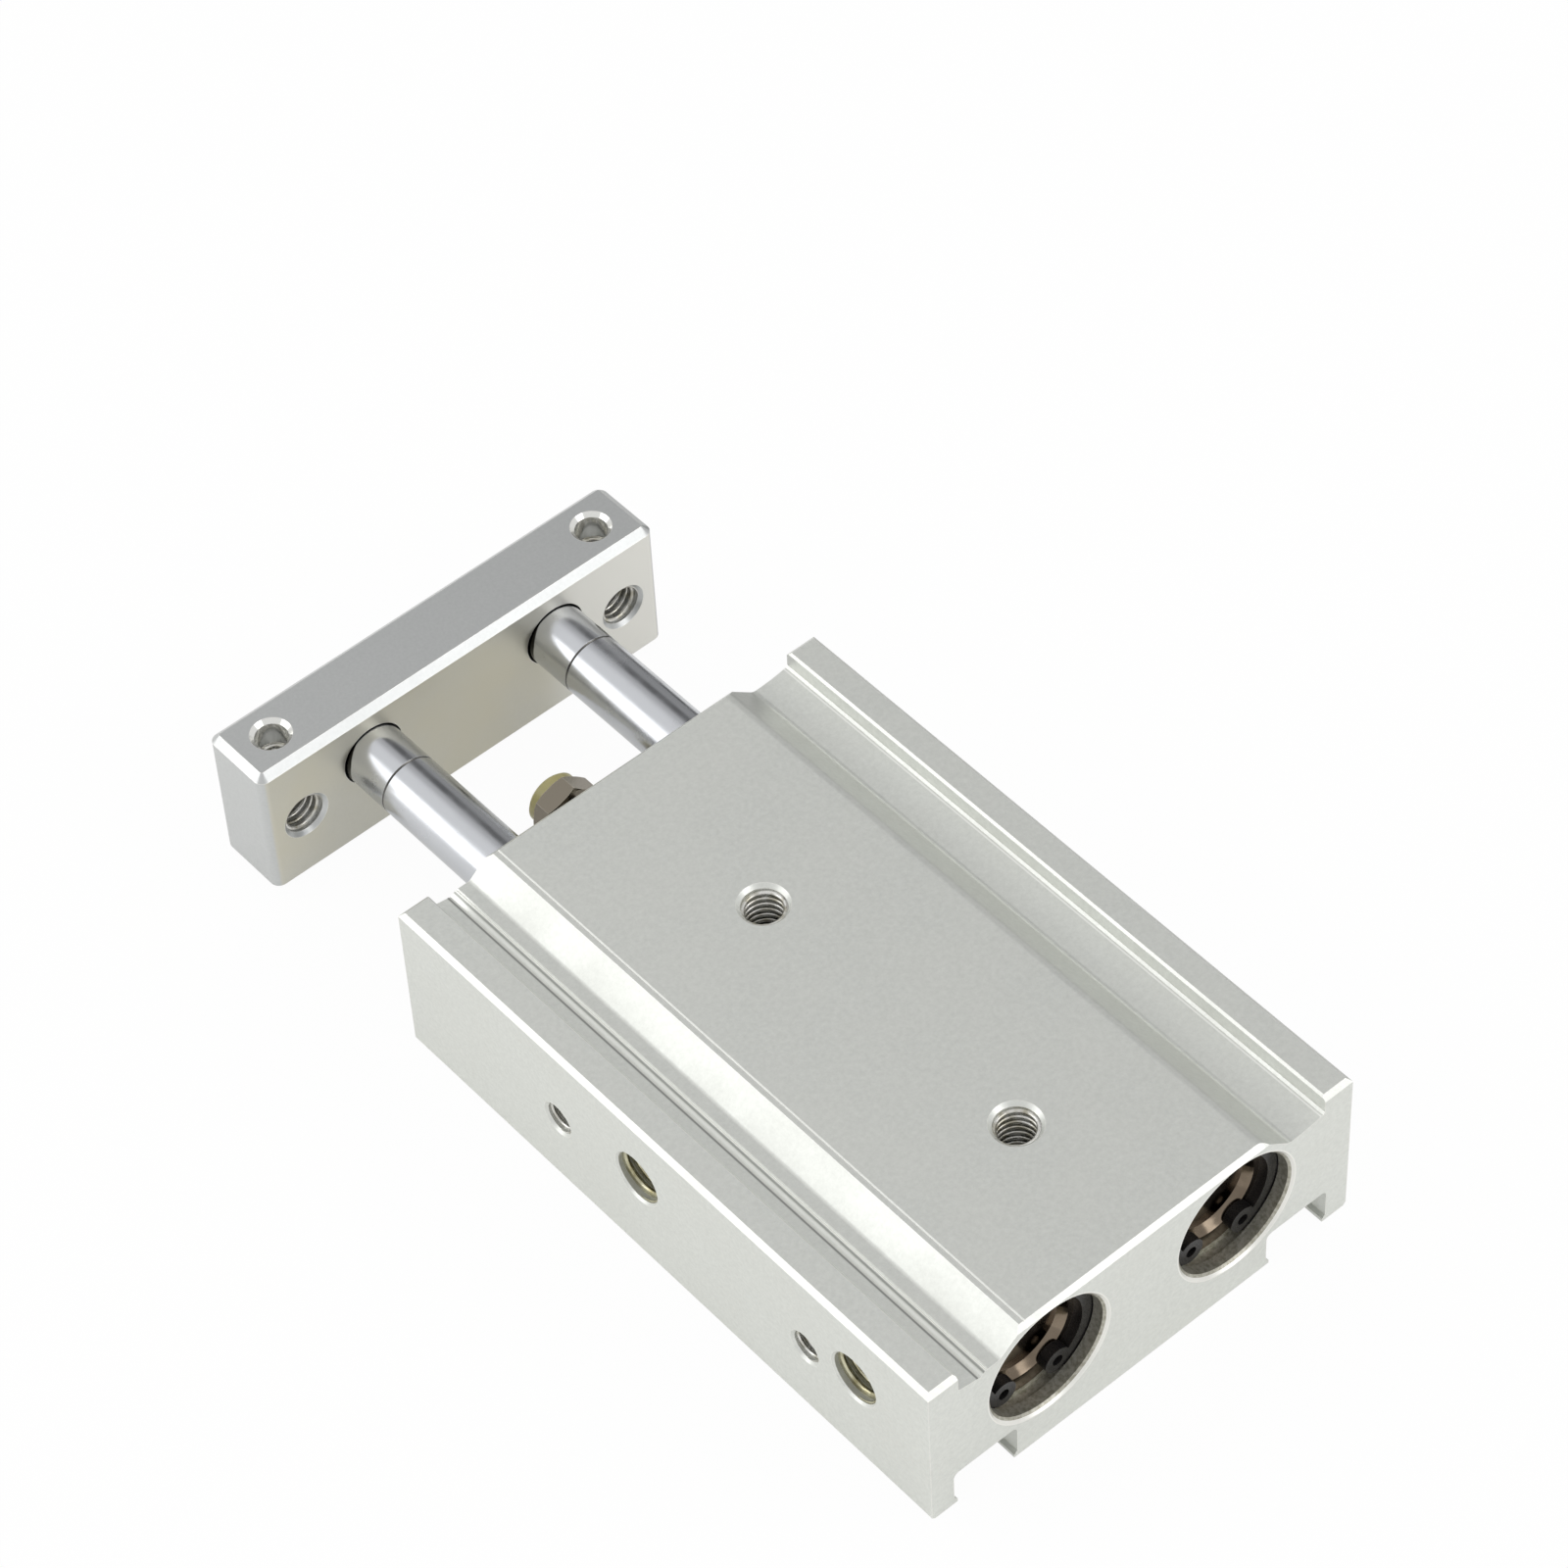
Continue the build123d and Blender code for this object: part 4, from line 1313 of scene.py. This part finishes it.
@dataclass(frozen=True)
class Softbox:
    """A square lamp behind cloth, aimed at the object.

    Attributes:
        name: Name of the lamp.
        way: Direction from the object to the lamp.
        distance: How far off it stands, in metres.
        size: Its side, in metres.
        level: Brightness of its cloth, where white paper in full light is one.
    """

    name: str
    way: tuple[float, float, float]
    distance: float
    size: float
    level: float

    def build(self, aim: Vector) -> bpy.types.Object:
        """Hang the lamp.

        Args:
            aim: The point it shines at.

        Returns:
            The lamp.
        """
        lamp = bpy.data.lights.new(self.name, "AREA")
        lamp.shape = "SQUARE"
        lamp.size = self.size
        lamp.energy = self.level * pi * self.size**2
        holder = bpy.data.objects.new(self.name, lamp)
        way = Vector(self.way).normalized()
        holder.location = aim + way * self.distance
        holder.rotation_mode = "QUATERNION"
        holder.rotation_quaternion = way.to_track_quat("Z", "Y")
        bpy.context.collection.objects.link(holder)
        return holder


@dataclass(frozen=True)
class Shade:
    """A soft patch of the room that the metal mirrors.

    Attributes:
        way: Direction of its middle.
        inner: Angle from the middle out to which it is full, in degrees.
        outer: Angle at which it has faded out, in degrees.
        level: Brightness of the patch.
    """

    way: tuple[float, float, float]
    inner: float
    outer: float
    level: float


@dataclass
class Studio:
    """A pale studio: a white floor, a soft room and two softboxes.

    Attributes:
        aim: What the lamps shine at.
        room: Brightness of the room in mirrors.
        ambient: Brightness of the room's light on the object.
        shades: Patches of the room that differ from it.
        lamps: The softboxes.
        floor_size: Side of the floor, in metres.
        floor_gap: How far it lies under the feet, in metres, so that the two don't share one plane.
        floor_colour: The floor's own colour.
        seen_white: How far the floor is plain white to the camera, which leaves a faint shadow.
        mirrored_white: The same for mirrors.
        dim_from: Distance to the right at which the floor begins to fade in mirrors into a painted shade, in
            metres.
        dim_to: Distance at which it has faded.
        painted_floor_shade: Colour of that painted shade on the floor in mirrors.
    """

    aim: Vector
    room: float = 0.72
    ambient: float = 0.85
    shades: tuple[Shade, ...] = (
        Shade((0.5, 0.5, 0.7), 14, 38, 0.58),
        Shade((0.62, 0.51, 0.6), 5, 17, 0.13),
        Shade((0.86, 0.5, 0.05), 14, 32, 0.34),
        Shade((-0.2, 0.5, 0.85), 8, 30, 0.92),
        Shade((-0.86, 0.5, 0.05), 10, 32, 1.0),
    )
    lamps: tuple[Softbox, ...] = (
        Softbox("left_softbox", (-0.76, 0.51, 0.4), 0.62, 0.44, 1.25),
        Softbox("rear_softbox", (0.4, -0.76, 0.51), 0.62, 0.36, 1.7),
    )
    floor_size: float = 6.0
    floor_gap: float = 0.00005
    floor_colour: str = "#F1F1EF"
    seen_white: float = 0.96
    mirrored_white: float = 0.41
    dim_from: float = 0.045
    dim_to: float = 0.08
    painted_floor_shade: str = "#5C5C5C"

    def build(self) -> None:
        """Set up the world, the lamps and the floor."""
        self.build_world()
        for lamp in self.lamps:
            lamp.build(self.aim)
        self.build_floor()

    def build_world(self) -> None:
        """Make the room: plain white to the camera, softly shaded in mirrors, even as light."""
        world = bpy.data.worlds.new("pale_room")
        bpy.context.scene.world = world
        world.use_nodes = True
        tree = world.node_tree
        tree.nodes.clear()
        way = add(tree, "ShaderNodeTexCoord").outputs["Generated"]
        level = self.room
        for shade in self.shades:
            middle = tuple(Vector(shade.way).normalized())
            facing = add(tree, "ShaderNodeVectorMath", {0: way, 1: middle},
                         operation="DOT_PRODUCT").outputs["Value"]
            amount = add(tree, "ShaderNodeMapRange", {
                "Value": facing, "From Min": cos(radians(shade.outer)),
                "From Max": cos(radians(shade.inner))},
                interpolation_type="SMOOTHSTEP").outputs[0]
            level = add(tree, "ShaderNodeMix", {"Factor": amount, "A": level, "B": shade.level},
                        data_type="FLOAT").outputs[0]
        seen, mirrored = kinds_of_ray(tree)
        light = add(tree, "ShaderNodeMix", {"Factor": mirrored, "A": self.ambient, "B": level},
                    data_type="FLOAT").outputs[0]
        strength = add(tree, "ShaderNodeMix", {"Factor": seen, "A": light, "B": 1.0},
                       data_type="FLOAT").outputs[0]
        room = add(tree, "ShaderNodeBackground", {"Color": WHITE, "Strength": strength})
        add(tree, "ShaderNodeOutputWorld", {"Surface": room.outputs[0]})

    def build_floor(self) -> bpy.types.Object:
        """Lay the floor under the object.

        Returns:
            The floor.
        """
        half, low = self.floor_size / 2, -self.floor_gap
        mesh = bpy.data.meshes.new("floor")
        square = [(-half, -half, low), (half, -half, low), (half, half, low), (-half, half, low)]
        mesh.from_pydata(square, [], [(0, 1, 2, 3)])
        mesh.materials.append(self.floor_material())
        floor = bpy.data.objects.new("floor", mesh)
        bpy.context.collection.objects.link(floor)
        floor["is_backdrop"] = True
        return floor

    def floor_material(self) -> bpy.types.Material:
        """Paint the floor: near white to the camera, with the object's shadow, and dimmer in mirrors, with a
        painted shade to the right.

        Returns:
            The floor's material.
        """
        material = empty_material("white_table")
        tree = material.node_tree
        seen, mirrored = kinds_of_ray(tree)
        place = add(tree, "ShaderNodeTexCoord").outputs["Object"]
        across = add(tree, "ShaderNodeSeparateXYZ", {0: place}).outputs[0]
        near = add(tree, "ShaderNodeMapRange", {"Value": across, "From Min": self.dim_to,
                                                "From Max": self.dim_from},
                   interpolation_type="SMOOTHSTEP").outputs[0]
        far = add(tree, "ShaderNodeMath", {0: 1.0, 1: near}, operation="SUBTRACT").outputs[0]
        dim = add(tree, "ShaderNodeMath", {0: mirrored, 1: far}, operation="MULTIPLY").outputs[0]
        # A painted shade on the floor to the right, seen only in mirrors.
        colour = add(tree, "ShaderNodeMix", {"Factor": dim, "A": linear(self.floor_colour),
                                             "B": linear(self.painted_floor_shade)}, data_type="RGBA").outputs[2]
        paint = add(tree, "ShaderNodeBsdfDiffuse", {"Color": colour}).outputs[0]
        glow = add(tree, "ShaderNodeEmission", {"Color": WHITE, "Strength": 1.0}).outputs[0]
        in_mirrors = add(tree, "ShaderNodeMath", {0: mirrored, 1: self.mirrored_white},
                         operation="MULTIPLY").outputs[0]
        in_mirrors = add(tree, "ShaderNodeMath", {0: in_mirrors, 1: near}, operation="MULTIPLY").outputs[0]
        share = add(tree, "ShaderNodeMix", {"Factor": seen, "A": in_mirrors, "B": self.seen_white},
                    data_type="FLOAT").outputs[0]
        mixed = add(tree, "ShaderNodeMixShader", {0: share, 1: paint, 2: glow}).outputs[0]
        add(tree, "ShaderNodeOutputMaterial", {"Surface": mixed})
        return material


@dataclass
class PhotoCamera:
    """The camera at the photograph's place, looking down on the rear left corner.

    Attributes:
        place_mm: Where it stands.
        azimuth: Bearing of the camera from the object, in degrees.
        elevation: Its angle above the table, in degrees.
        roll: Its turn about its own axis, in degrees.
        lens_mm: Focal length on the sensor.
        sensor_mm: Width of the square sensor.
        nearest: Distance within which nothing is seen, in metres.
    """

    place_mm: tuple[float, float, float] = (-179.953, -215.458, 372.645)
    azimuth: float = -38.371
    elevation: float = 49.313
    roll: float = -3.438
    lens_mm: float = 127.38
    sensor_mm: float = 36.0
    nearest: float = 0.01

    def build(self) -> bpy.types.Object:
        """Place the camera and make it the scene's own.

        Returns:
            The camera.
        """
        lens = bpy.data.cameras.new("photo_camera")
        lens.lens = self.lens_mm
        lens.sensor_width = self.sensor_mm
        lens.clip_start = self.nearest
        camera = bpy.data.objects.new("photo_camera", lens)
        turn, rise = radians(self.azimuth), radians(self.elevation)
        back = Vector((sin(turn) * cos(rise), -cos(turn) * cos(rise), sin(rise)))
        upright = back.to_track_quat("Z", "Y").to_matrix().to_4x4()
        rolled = upright @ Matrix.Rotation(radians(self.roll), 4, "Z")
        camera.matrix_world = Matrix.Translation(Vector(self.place_mm) * MM) @ rolled
        bpy.context.collection.objects.link(camera)
        bpy.context.scene.camera = camera
        return camera


def main() -> None:
    """Load the frame, dress it, cut the threads, and set the studio and the camera."""
    logging.basicConfig(level=logging.INFO, format="%(message)s")
    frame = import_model()
    for slot, count in SolidParts(frame).dress().items():
        log.info("finish %s on %d solids", slot, count)
    for piece in ThreadSet().build():
        log.info("piece %s with %d faces", piece.name, len(piece.data.polygons))
    low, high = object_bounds()
    Studio(aim=(low + high) / 2).build()
    PhotoCamera().build()
    view = bpy.context.scene.view_settings
    view.view_transform = "Standard"


if __name__ == "__main__":
    main()
